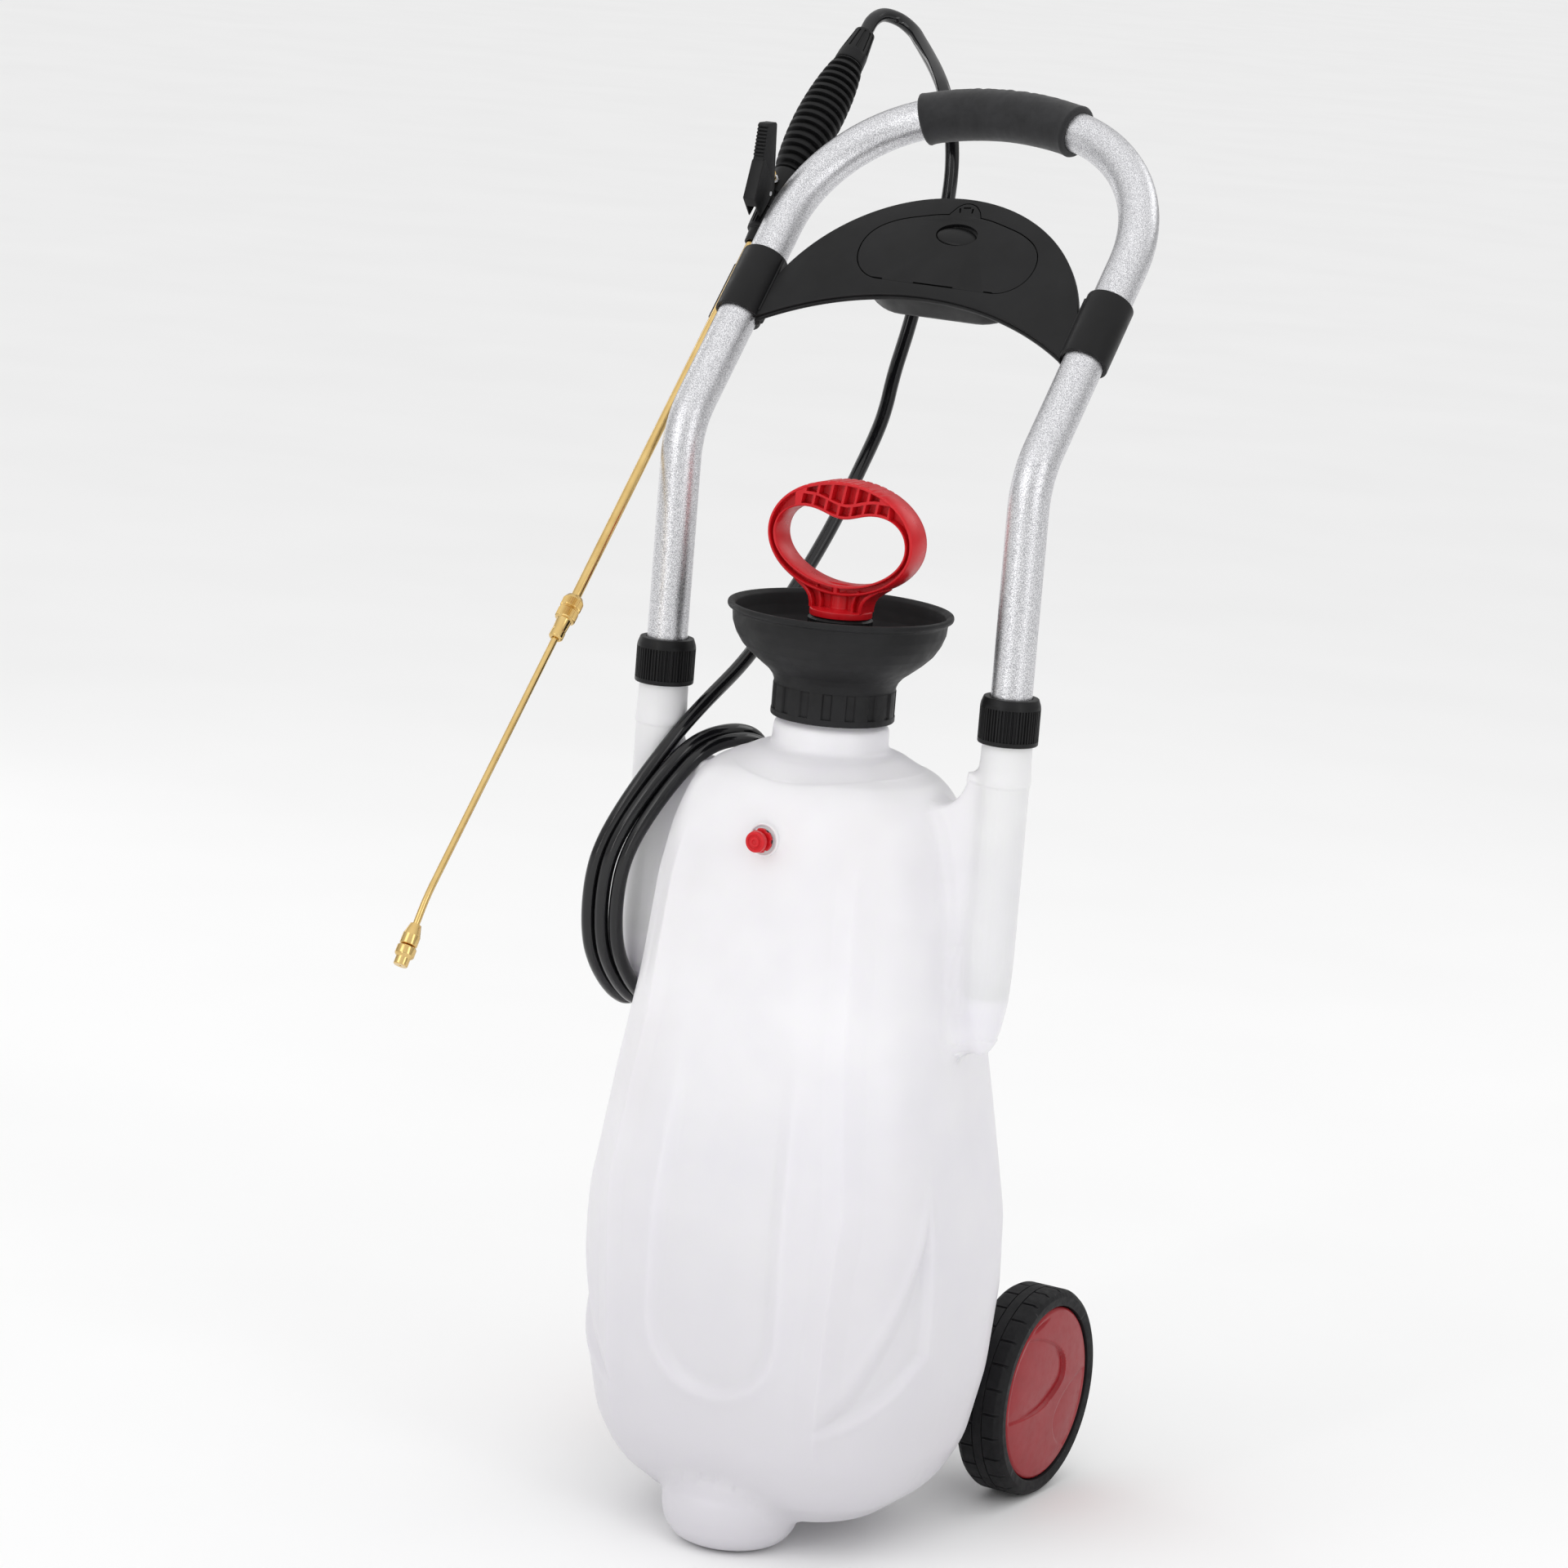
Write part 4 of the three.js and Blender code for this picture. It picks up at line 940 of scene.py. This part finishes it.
def make_tray():
    tray = make("tray", prism(crescent(LIP_R), -4, -1, 0.8), TRAY)
    parts = [prism(crescent(PLATE_R), -2.4, 0, 0.5),
             prism(stadium(BOX_HALF, BOX_LOW, BOX_HIGH), -1.5, BOX_DEPTH, 0.5, 5)]
    for side in (-1, 1):
        sleeve = revolve([(0, SLEEVE_LOW), (SLEEVE_R, SLEEVE_LOW), (SLEEVE_R, SLEEVE_TOP), (0, SLEEVE_TOP)],
                         96, 0.8)
        parts.append(moved(sleeve, at_leg(side)))
        x = side * CLAMP_BLOCK_X
        parts.append(box(x - CLAMP_BLOCK_HALF, x + CLAMP_BLOCK_HALF, -3, 7, -48.6, -5, 0.8))
        parts.append(box(side * 105 - 0.8, side * 105 + 0.8, -4.8, -2, -46, -5, 0.6))
        lug = revolve([(0, -50.8), (2.3, -50.8), (2.8, -49.8), (2.8, -44), (0, -44)], 32, 0.6)
        parts.append(moved(lug, shift(side * 108.5, 4, 0)))
    for rib_x in (-84, -75, 75, 84):
        parts.append(box(rib_x - 0.9, rib_x + 0.9, -1, 5, -22, 4, 0.3))
    fuse(tray, parts, TRAY)
    seat = grown(lid_outline(), LID_GAP)
    seat[:, 1] = np.maximum(seat[:, 1], LID_HALF[-1][1] - 0.15)
    cuts = [prism(seat, -10, -1.2, 0.1), prism(grown(latch_outline(), LATCH_GAP), -10, -1.2, 0.1),
            prism(stadium(BOX_HALF - BOX_WALL, BOX_LOW + BOX_WALL, BOX_HIGH - BOX_WALL), -3,
                  BOX_DEPTH - BOX_FLOOR, 0.2, 4)]
    for side in (-1, 1):
        cuts.append(moved(rod(LEG_BORE_R, -60, 10, 80), at_leg(side)))
    carve(tray, cuts, TRAY)
    return finish_piece(tray, "black_plastic", "handle", "tool_tray", sharp=30)


def make_lid():
    """Flat lid with a latch tab and an oval finger recess that holds a domed pad."""
    lid = make("lid", prism(lid_outline(), LID_FRONT, LID_BACK, 0.35), TRAY)
    x, z, half_x, half_z = RECESS
    combine(lid, "UNION", make("tab", prism(latch_outline(), LID_FRONT, LID_BACK, 0.35), TRAY),
            make("cup", prism(ellipse(x, z, half_x + 1.6, half_z + 1.6), -3, 0.6, 0.4), TRAY))
    combine(lid, "DIFFERENCE", make("recess", prism(ellipse(x, z, half_x, half_z), -6, -1.0, 0.3), TRAY))
    ball = revolve([(0, -1), (0.5, -0.87), (0.86, -0.5), (1, 0), (0.86, 0.5), (0.5, 0.87), (0, 1)], 64, 0.4)
    tilt = Matrix.Rotation(math.radians(-11), 4, "X") @ Matrix.Rotation(math.radians(5), 4, "Z")
    pad = shift(x - 0.4, -2.3, z - 0.3) @ tilt
    lens = moved(ball, pad @ Matrix.Diagonal((13.7, 2.1, 7.9, 1)))
    fuse(lid, [lens], TRAY)
    slots = [box(x0, x1, -5, -1.7, -10.6, -9.4, 0.1) for x0, x1 in ((-41.7, -33.4), (-11.8, 15.8), (37, 43))]
    for leg in ([(-3.8, 49.8), (-2.5, 46.3)], [(-1.6, 50.2), (3.3, 50.9)], [(4.9, 50.5), (5.5, 46.9)]):
        slots.append(prism(strip(leg, 1.1), -5, -2.4, 0.1))
    carve(lid, slots, TRAY)
    return finish_piece(lid, "black_plastic", "lid", "tray_lid", sharp=30)


make_tray()
make_lid()
for word, side in (("left", -1), ("right", 1)):
    head = revolve([(0, 0.3), (4, 0.3), (4, 1.8), (2.6, 3.1), (0, 3.4)], 40, 0.3)
    at = TRAY @ shift(side * 98, 0, -20) @ quarter("X", -1)
    screw = make(f"screw_{word}", head, at)
    for turn in (0, math.pi / 2):
        cross = moved(box(-2.2, 2.2, -0.4, 0.4, 2.0, 4, 0.1), Matrix.Rotation(turn, 4, "Z"))
        carve(screw, [cross], at)
    finish_piece(screw, "zinc_steel", "handle", f"clamp_screw_{word}")
clip = make("clip", box(-147.4, -129, 12.7, 15, -42, -8, 0.4), TRAY)
fuse(clip, [box(-147.4, -145.3, 10.8, 15, -46, -3, 0.6)], TRAY)
finish_piece(clip, "black_plastic", "handle", "lance_clip")

# ------------------------------------------------------------------ funnel cap
CAP_RIBS = 16


def cap_ripple(r, z, angle):
    """Raised blocks round the cap ring, standing on a smooth band."""
    wave = np.abs((angle / TAU * CAP_RIBS) % 1 - 0.5) * 2
    gap = smoothstep(0.60, 0.66, wave)
    zone = (z > 516.4) & (z < 532) & (r > 36)
    return r - 1.25 * gap * zone


FUNNEL = [(31, 512.3), (37.4, 512.3), (37.9, 513), (37.9, 516), (37.6, 516.5), (37.6, 531.6), (37.2, 532.4),
          (37.4, 534), (38.6, 537), (41.6, 540.6), (46.7, 544.5), (53, 549.6), (58.5, 555), (62.6, 561.5),
          (65, 568),
          (65.6, 574.4), (66.4, 575.6), (68.6, 576.6), (69, 578.4), (68.4, 580), (66.2, 580), (64, 578),
          (62.8, 571),
          (61, 564.5), (57.2, 558.8), (51.5, 553), (46, 549), (38, 546.4), (20.6, 544), (20.6, 536),
          (31, 536)]
piece("funnel", revolve(FUNNEL, 512, 0.9, cap_ripple), "black_plastic", "cap", "funnel_cap",
      material=FUNNEL_MATERIAL, sharp=45)

# ------------------------------------------------------------------ pump handle
RING_Z = 622.6
RING_HALF = (50.0, 34.6)
FINGER_HOLE = [((0, 634.4), (8, 634.4), (14, 639), (24, 639)),
               ((24, 639), (36, 639), (44.5, 632), (44.5, 621.5)),
               ((44.5, 621.5), (44.5, 606), (22, 594), (0, 594))]
EDGE_WIDTH, RIM_WIDTH = 2.0, 1.7  # of the outer flange and of the rim round the hole
EDGE_HALF, RIM_HALF, CHANNEL_HALF, BLOCK_RISE = 10, 9.7, 4.4, 5.3  # half thicknesses
BLOCK_HALF = 33.0  # half width of the ribbed block on top
RIB = 0.8          # half thickness of its ribs
CELL_FLOOR = 3.6   # the cells stop this far from the handle's middle plane


def finger_hole():
    """Right half of the hole, top to bottom, then the left half."""
    t = np.linspace(0, 1, 60)[:-1, None]
    half = np.vstack([(1 - t) ** 3 * np.array(a) + 3 * t * (1 - t) ** 2 * np.array(b)
                      + 3 * t * t * (1 - t) * np.array(c) + t ** 3 * np.array(d) for a, b, c,
                      d in FINGER_HOLE])
    half = np.vstack([half, FINGER_HOLE[-1][-1]])
    return np.vstack([half, (half * (-1, 1))[-2:0:-1]])


def block_cells():
    """Outlines of the cells: one row above the block's middle rib and one below it."""
    hole = finger_hole()
    roof = hole[(hole[:, 1] > 620)]
    roof = roof[np.argsort(roof[:, 0])]

    def above(x):
        return RING_Z + RING_HALF[1] * np.sqrt(1 - (x / RING_HALF[0]) ** 2) - 2.1

    def middle_rib(x):
        return 643 + 4.6 * smoothstep(0, 22, np.abs(x - 1))

    def below(x):
        return np.interp(x, roof[:, 0], roof[:, 1]) + 1.9

    outlines = []
    for start, end, count, low, high in ((-26, 26, 6, lambda x: middle_rib(x) + RIB, above),
                                         (-29, 32, 7, below, lambda x: middle_rib(x) - RIB)):
        pitch = (end - start) / count
        for k in range(count):
            x = np.linspace(start + k * pitch + RIB, start + (k + 1) * pitch - RIB, 6)
            foot, head = low(x), np.maximum(high(x), low(x) + 0.3)
            slant = 0.18 * (head - foot)
            outlines.append(np.vstack([np.stack([x, foot], 1), np.stack([x + slant, head], 1)[::-1]]))
    return outlines


def ring_grid(turns=560, steps=44):
    """Points of the ring's face, from the outer edge to the hole, and their distances to both."""
    hole = finger_hole() - (0, RING_Z)
    bearing = np.arctan2(hole[:, 1], hole[:, 0])
    order = np.argsort(bearing)
    angle = np.linspace(-math.pi, math.pi, turns, endpoint=False)
    inner = np.interp(angle, bearing[order], np.hypot(*hole.T)[order], period=TAU)
    outer = 1 / np.hypot(np.cos(angle) / RING_HALF[0], np.sin(angle) / RING_HALF[1])
    s = np.linspace(0, 1, steps)[:, None]
    r = outer + (inner - outer) * s
    x, z = r * np.cos(angle), r * np.sin(angle) + RING_Z
    width = outer - inner
    return x, z, s * width, (1 - s) * width


def ring_thickness(x, z, from_edge, from_hole):
    """Half thickness of the handle: outer flange, inner rim, the channel between, the block on top."""
    wall = 0.3
    edge = 1 - smoothstep(EDGE_WIDTH - wall, EDGE_WIDTH + wall, from_edge)
    rim = 1 - smoothstep(RIM_WIDTH - wall, RIM_WIDTH + wall, from_hole)
    top = smoothstep(627, 629, z) * (1 - smoothstep(BLOCK_HALF - 0.4, BLOCK_HALF + 0.4, np.abs(x)))
    foot_rib = (1 - smoothstep(1.3, 1.8, np.abs(x))) * (z < 600)
    thick = np.maximum.reduce([CHANNEL_HALF + BLOCK_RISE * np.maximum(top, foot_rib),
                               edge * EDGE_HALF, rim * RIM_HALF])
    for distance in (from_edge, from_hole):
        thick = thick - 0.9 * np.clip(1 - distance / 0.9, 0, 1) ** 2
    return thick


def make_pump_handle():
    x, z, from_edge, from_hole = ring_grid()
    thick = ring_thickness(x, z, from_edge, from_hole)
    notch = 0.35 * (np.cos(x * TAU / 5.2) > 0.35) * (np.abs(x) < 26) * (z > 650) * (from_edge < 0.1)
    front = np.stack([x, -thick, z - notch], -1)
    back = np.stack([x, thick, z - notch], -1)[::-1]
    rows, turns = front.shape[0], front.shape[1]
    ring = (np.vstack([front.reshape(-1, 3), back.reshape(-1, 3)]),
            grid_faces(2 * rows, turns, wrap_rows=True))
    handle = make("pump_grip", ring)
    depths = ((-12, -CELL_FLOOR), (CELL_FLOOR, 12))
    cells = [prism(cell, *depth, 0.2) for cell in block_cells() for depth in depths]
    carve(handle, cells)
    flare = np.array([(17, 578.8), (17.2, 582), (18.2, 585.5), (20.4, 588.6), (24, 591.4), (29, 594.8)])
    inner_rib = np.array([(11.2, 578.5), (11, 583), (12.2, 588), (14.8, 592)])
    web = np.vstack([flare, (flare * (-1, 1))[::-1]])
    foot = [(0, 574.8), (19.2, 574.8), (19.2, 579), (7, 579.4), (6.8, 593), (0, 594)]
    parts = [prism(web, -3.2, 3.2, 0.3), revolve(foot, 96, 0.6)]
    for side in (-1, 1):
        parts.append(prism(strip(flare, 2.2) * (side, 1), -8.4, 8.4, 0.4))
        parts.append(prism(strip(inner_rib, 1.6) * (side, 1), -7.2, 7.2, 0.3))
    fuse(handle, parts)
    carve(handle, [rod(6.3, 570, 590.3)])
    return finish_piece(handle, "red_plastic", "plunger", "pump_handle", sharp=34)


make_pump_handle()

# ------------------------------------------------------------------ relief valve
body_ring = revolve([(2.3, -12), (4, -12), (4, 1.7), (7.4, 1.7), (7.4, 4), (3.9, 4), (3.9, -5), (2.3, -5)],
                    96, 0.3,
                    lambda r, z, a: r - 0.8 * (np.cos(a * 6) > 0.55) * (r > 6.9))
piece("valve_body", body_ring, "red_plastic", "tank", "relief_body", place=VALVE_AXIS)
knob = [(0, -14), (1.9, -14), (1.9, 4.3), (5.2, 4.4), (5.6, 6), (6.5, 7), (6.5, 10.2), (5.8, 11), (4.6, 11),
        (4.3, 10.3), (3.4, 10.3), (3.1, 11.2), (1.6, 11.4), (1.3, 10.6), (0, 10.6)]
piece("valve_knob", revolve(knob, 72, 0.35), "red_plastic", "relief_button", "relief_knob", place=VALVE_AXIS)

# ------------------------------------------------------------------ outlet
elbow = make("elbow", revolve([(0, -14), (6, -14), (6, 1.8), (9, 1.8), (9, 4), (6.2, 5), (6.2, 13.8),
                               (4.5, 15.2),
                               (0, 15.6)], 64, 0.6), Matrix.Translation(OUTLET))
SPIGOT_Z = 11.6
SPIGOT = Matrix.Translation(np.array(OUTLET) + (0, 0, SPIGOT_Z)) @ quarter("Y", -1)
fuse(elbow, [rod(4, 0, 16)], SPIGOT)
combine(elbow, "DIFFERENCE", make("bore", rod(2.2, 2, 30), SPIGOT),
        make("bore", rod(3, -20, SPIGOT_Z), Matrix.Translation(OUTLET)))
finish_piece(elbow, "black_plastic", "tank", "outlet_elbow")
piece("hose_end_nut", revolve([(4.4, 7), (6.6, 7), (6.6, 15.7), (4.4, 15.7)], 144, 0.5,
                              ribs(18, 0.5, 7.6, 15, 0.6)),
      "black_plastic", "tank", "outlet_nut", place=SPIGOT)

# ------------------------------------------------------------------ spray gun
PIN_BORE_R = 1.7
piece("gun_nut", revolve([(3.3, 0), (4.7, 0), (5.5, 8.6), (5.6, 9.6), (7.2, 10), (7.5, 12), (8.2, 24),
                          (8, 25), (6.4, 25), (6.4, 12), (3.3, 12)], 240, 0.3,
                         grooves(20, 0.2, 12.2, 23.8, 0.7, 7)),
      "black_plastic", "handle", "lance_nut", place=GUN)
barrel = revolve([(0, 12.4), (6, 12.4), (6, 25.4), (8.6, 25.4), (8.8, 33), (6.8, 34), (6.8, 37), (8.6, 38),
                  (9.2, 43), (9.5, 46), (9.5, 55.6), (9, 57.9), (7, 58), (7, 66), (0, 66)], 192, 0.5,
                 grooves(12, 0.6, 46.5, 55, 0.5, 9.4))
gun_body = make("barrel", barrel, GUN)
fuse(gun_body, [box(-3, 3, -17, -5, 26, 37, 0.5)], GUN)
across = shift(0, -13, 31) @ quarter("Y")
combine(gun_body, "DIFFERENCE", make("pin_hole", rod(PIN_BORE_R, -10, 10), GUN @ across),
        make("channel", rod(2.6, 11, 70), GUN),
        make("stem_hole", rod(1.9, 0, 30), GUN @ shift(0, 0, 44) @ quarter("X")))
finish_piece(gun_body, "black_plastic", "handle", "gun_body")

BELLOWS_RINGS = 16
FORK_HALF, ARM_HALF = 4.4, 3.7
GRIP_CORE_R = 7.3
TOOTH = 1.1  # height of the trigger's serrations


def bellows():
    low, high = 58.4, 153.5
    z = np.linspace(low, high, 321)
    share = (z - low) / (high - low)
    envelope = 9.4 + 5.8 * np.sin(math.pi * share) ** 0.7
    wave = np.cos(share * TAU * BELLOWS_RINGS)
    groove = smoothstep(0.25, -0.25, wave)
    outer = np.stack([envelope - np.minimum(3.2, envelope - 7.9) * groove, z], 1)
    outer[0], outer[-1] = (GRIP_CORE_R, low), (GRIP_CORE_R, high)
    return np.vstack([outer, [(GRIP_CORE_R, 110)]])


piece("bellows_grip", revolve(bellows(), 96, 0.05), "black_rubber", "handle", "gun_grip", place=GUN,
      sharp=60)
piece("gun_hose_nut", revolve([(7.2, 153.9), (9.6, 153.9), (9.8, 155), (9.5, 161), (9.3, 162.6),
                               (9.2, 163.4), (7, 178.6), (6.9, 179.6), (6.7, 181), (4.9, 181), (4.9, 176),
                               (7.2, 162)], 288, 0.3, grooves(12, 0.5, 163, 179, 0.7, 5)),
      "black_plastic", "handle", "hose_nut", place=GUN)


def make_trigger():
    """Lever in front of the barrel: a wider fork below, finger serrations on the narrower arm above."""
    fork = [(9, 13), (25.4, 15), (36.2, 37.6), (35.4, 39.4), (12, 36)]
    arm = [(20, 24), (24.4, 24), (37.2, 38.8)]
    start, end = np.array([37.2, 39.6]), np.array([49.0, 56.3])
    teeth = 9
    step = (end - start) / teeth
    out = np.array([step[1], -step[0]]) / np.linalg.norm(step)
    for tooth in range(teeth):
        base = start + tooth * step
        arm += [tuple(base + along * step + height * out)
                for along, height in ((0.15, 0), (0.35, TOOTH), (0.8, TOOTH))]
    arm += [(49.4, 57.4), (43.2, 64), (41.4, 64), (22.2, 46.6), (10, 36)]
    turn = quarter("Z")

    def lever(outline, half):
        flat = np.array([(-n, z) for n, z in soften(outline, 0.4)])
        return moved(prism(flat, -half, half, 0.5), turn)

    trigger = make("lever", lever(fork, FORK_HALF), GUN)
    fuse(trigger, [lever(arm, ARM_HALF)], GUN)
    turned_pin = GUN @ across
    combine(trigger, "DIFFERENCE", make("slot", box(-3.3, 3.3, -19, -3, 5, 48, 0.3), GUN),
            make("pin_hole", rod(PIN_BORE_R, -10, 10), turned_pin), make("clear", rod(12, 0, 70), GUN))
    return finish_piece(trigger, "black_plastic", "trigger_lever", "trigger", sharp=30)


make_trigger()

# ------------------------------------------------------------------ lance
def knurl(count, depth, low, high):
    def ripple(r, z, angle):
        wave = (np.abs((angle / TAU * count) % 1 - 0.5) - 0.25) * 4
        return r + depth * wave * ((z > low) & (z < high))
    return ripple


piece("wand_outer", revolve([(2.7, -276), (3.1, -276), (3.1, -0.4), (2.7, -0.4)], 40, 0.1), "brass",
      "handle",
      "lance_outer", place=WAND)
collar = revolve([(2.3, -306), (3.6, -306), (4.5, -305), (4.5, -301), (4.3, -300), (4.7, -292.4),
                  (6.1, -292), (6.3, -291),
                  (6.3, -286), (6.1, -285.4), (5.5, -285), (5.5, -284.2), (6.2, -283.8), (6.4, -283),
                  (6.4, -278.5),
                  (6.2, -277.6), (5, -275.5), (3.3, -275.5), (3.3, -292), (2.3, -293)], 360, 0.15,
                 knurl(44, 0.22, -291.5, -277.8))
piece("wand_collar", collar, "brass", "collar", "lance_collar", place=WAND)
BEND_FROM, BEND_TO, NOZZLE_Z = -484.0, -502.0, -519.0
tip = math.radians(LEAN - TIP_LEAN)


def wand_line():
    line = [(0, 0, -250), (0, 0, BEND_FROM + 6)]
    for part in np.linspace(0, 1, 9):
        drop = (BEND_FROM - BEND_TO) * part
        line.append((0, 0.5 * tip * part * drop, BEND_FROM - drop))
    end = line[-1][1] + math.tan(tip) * (BEND_TO - NOZZLE_Z)
    line.append((0, end, NOZZLE_Z))
    return np.array(line), end


WAND_LINE, NOZZLE_Y = wand_line()
piece("wand_inner", tube(even(WAND_LINE, 3), 2.1, 28, bore=1.3), "brass", "lance_tip", "lance_inner",
      place=WAND)
NOZZLE = WAND @ shift(0, NOZZLE_Y, NOZZLE_Z) @ Matrix.Rotation(tip, 4, "X")
piece("nozzle_seat", revolve([(2.4, 8), (3.4, 8), (4.2, 5), (5, 2), (5.4, 1), (5.4, -5), (5, -5.4), (3, -6),
                              (3, -13),
                              (0.6, -13), (0.6, -0.4), (2.4, -0.4)], 240, 0.15, knurl(36, 0.2, -4.8, 0.8)),
      "brass", "lance_tip", "nozzle_body", place=NOZZLE)
piece("nozzle_tip", revolve([(3.3, -5.9), (5.6, -6.4), (6, -7), (6, -11.6), (5.6, -12.4), (4.4, -13.4),
                             (4.4, -18), (4, -18.5),
                             (0.8, -18.5), (0.8, -13.4), (3.3, -13.4)], 240, 0.15,
                            knurl(40, 0.2, -11.4, -7.2)),
      "brass", "nozzle", "nozzle_cap", place=NOZZLE)

# ------------------------------------------------------------------ wheels
TREAD_BLOCKS = 26
WHEEL_WIDTH = TYRE[1][0] - TYRE[0][0]
SHOULDER = [(57, 1), (58.6, 0.6), (WHEEL_R - 4.5, 0), (WHEEL_R - 2, 1.6), (WHEEL_R - 0.2, 4.4), (WHEEL_R, 5),
            (WHEEL_R, 7.5),
            (WHEEL_R, 10), (WHEEL_R, 12.6), (WHEEL_R, 13.2), (WHEEL_R, 13.8)]
TYRE_PROFILE = SHOULDER + [(WHEEL_R, WHEEL_WIDTH / 2)] + [(r, WHEEL_WIDTH - z) for r, z in SHOULDER[::-1]]


def tread(r, z, angle):
    """Smooth middle band between two narrow grooves, and staggered cuts across both shoulders."""
    off = np.abs(z - WHEEL_WIDTH / 2)
    groove = 0.9 * ((off > 3.0) & (off < 3.7))
    stagger = np.where(z > WHEEL_WIDTH / 2, 0.0, 0.5)
    across = np.abs((angle / TAU * TREAD_BLOCKS + stagger) % 1 - 0.5) * TAU * WHEEL_R / TREAD_BLOCKS
    cut = 1.2 * (1 - smoothstep(0.5, 0.95, across)) * ((off > 3.7) & (r > WHEEL_R - 1))
    return r - np.maximum(groove * (r > WHEEL_R - 1), cut)


# Hollows in the wheel disc, seen from outside with y forward to back and z up.
PETAL = [(-56, -9.6), (-24, -10), (-6, -8), (11.5, -1), (20, 6), (21.5, 14.5), (17.5, 23), (5, 32),
         (-20, 41), (-45, 43)]
SECOND_PETAL = [(58, 8), (35, 2.4), (17.7, -8), (10, -19), (10.8, -28), (18.7, -37.7), (29.4, -43),
                (45, -50)]
SLIVER = [(-1.5, 52.7), (-14, 47.5), (-28, 45), (-30, 47), (-14, 51.4)]


def depth_inside(y, z, outline):
    """Distance of each point to the outline, 0 outside it."""
    outline = spline([(a, 0, b) for a, b in outline], 2.0)[:, [0, 2]]
    distance, inside = np.full_like(y, 1e9), np.zeros(y.shape, bool)
    for a, b in zip(outline, np.roll(outline, -1, 0)):
        along = (y - a[0]) * (b[0] - a[0]) + (z - a[1]) * (b[1] - a[1])
        t = np.clip(along / max(np.sum((b - a) ** 2), 1e-9), 0, 1)
        distance = np.minimum(distance, np.hypot(y - a[0] - t * (b[0] - a[0]), z - a[1] - t * (b[1] - a[1])))
        crosses = (a[1] > z) != (b[1] > z)
        inside ^= crosses & (y < a[0] + (z - a[1]) * (b[0] - a[0]) / (b[1] - a[1] + 1e-12))
    return distance * inside


def disc_relief(y, z):
    """Depth of the hollows: steep at the lower right of each, fading out towards its opening."""
    first, second, third = (depth_inside(y, z, outline) for outline in (PETAL, SECOND_PETAL, SLIVER))
    steep = 0.3 + 0.7 * smoothstep(-45, 15, y - z)
    depth = (0.5 + 2.5 * np.exp(-first / 9) * steep) * smoothstep(0, 1.3, first)
    depth += 0.9 * np.exp(-second / 12) * smoothstep(0, 1.8, second)
    return depth + 1.5 * smoothstep(0, 2.2, third)


def wheel_disc(side):
    dome = [(r, 32.7 - 1.8 * (r / 55) ** 4 + 0.4 * (r < 54.4)) for r in np.linspace(54.9, 0.4, 70)]
    rings = np.array([(0.4, 28.4), (56, 27.4), (56.1, 29.9), (55.5, 30.6)] + dome)
    segments = 360
    angle = circle(segments)
    x, y = rings[:, :1] * np.cos(angle), rings[:, :1] * np.sin(angle)
    z = np.repeat(rings[:, 1:], segments, 1)
    face = np.arange(len(rings))[:, None] >= 4
    z = z - disc_relief(y, -side * x) * face * (1 - smoothstep(51, 54, np.hypot(x, y)))
    points = np.stack([x, y, z], -1).reshape(-1, 3)
    return points, grid_faces(len(rings), segments) + end_caps(len(rings), segments)


for word, side in (("left", -1), ("right", 1)):
    hub = shift(side * TYRE[0][0], AXLE[1], AXLE[2])
    wheel = hub @ quarter("Y", side)
    body = f"wheel_{word}"
    piece(f"tread_{word}", revolve(TYRE_PROFILE, 1100, 0.3, tread), "tyre_black", body, f"tyre_{word}",
          place=wheel)
    piece(f"disc_{word}", wheel_disc(side), "red_plastic", body, f"wheel_disc_{word}", place=wheel,
          material=DISC_MATERIAL, sharp=50)
    rim = make(f"rim_{word}", revolve([(5.3, 2), (11, 2), (11, 14), (51.5, 14), (51.5, 3), (56.6, 3),
                                       (56.6, 27), (50.5, 27),
                                       (50.5, 17), (11, 17), (11, 24), (5.3, 24)], 120, 0.8), wheel)
    spokes = [moved(box(10, 52, -1.1, 1.1, 4.5, 14.5, 0.4),
                    Matrix.Rotation(TAU * k / 8, 4, "Z")) for k in range(8)]
    fuse(rim, spokes, wheel)
    finish_piece(rim, "black_plastic", body, f"wheel_rim_{word}")
axle = revolve([(0, -104), (4.2, -104), (5, -103), (5, 103), (4.2, 104), (0, 104)], 64, 0.2)
piece("wheel_axle", along_x(axle), "zinc_steel", "tank", "axle", place=Matrix.Translation(AXLE))

# ------------------------------------------------------------------ floor
bpy.ops.mesh.primitive_plane_add(size=90, location=(0, 0, -0.0005))
floor = bpy.context.object
floor.name = "floor"
floor_finish = Finish("pale_floor", Roughness=0.9, Specular_IOR_Level=0.1)
floor_finish.mottle(400, 2, (0.93, 0.93, 0.93), (0.95, 0.95, 0.95))
floor.data.materials.append(floor_finish.material)
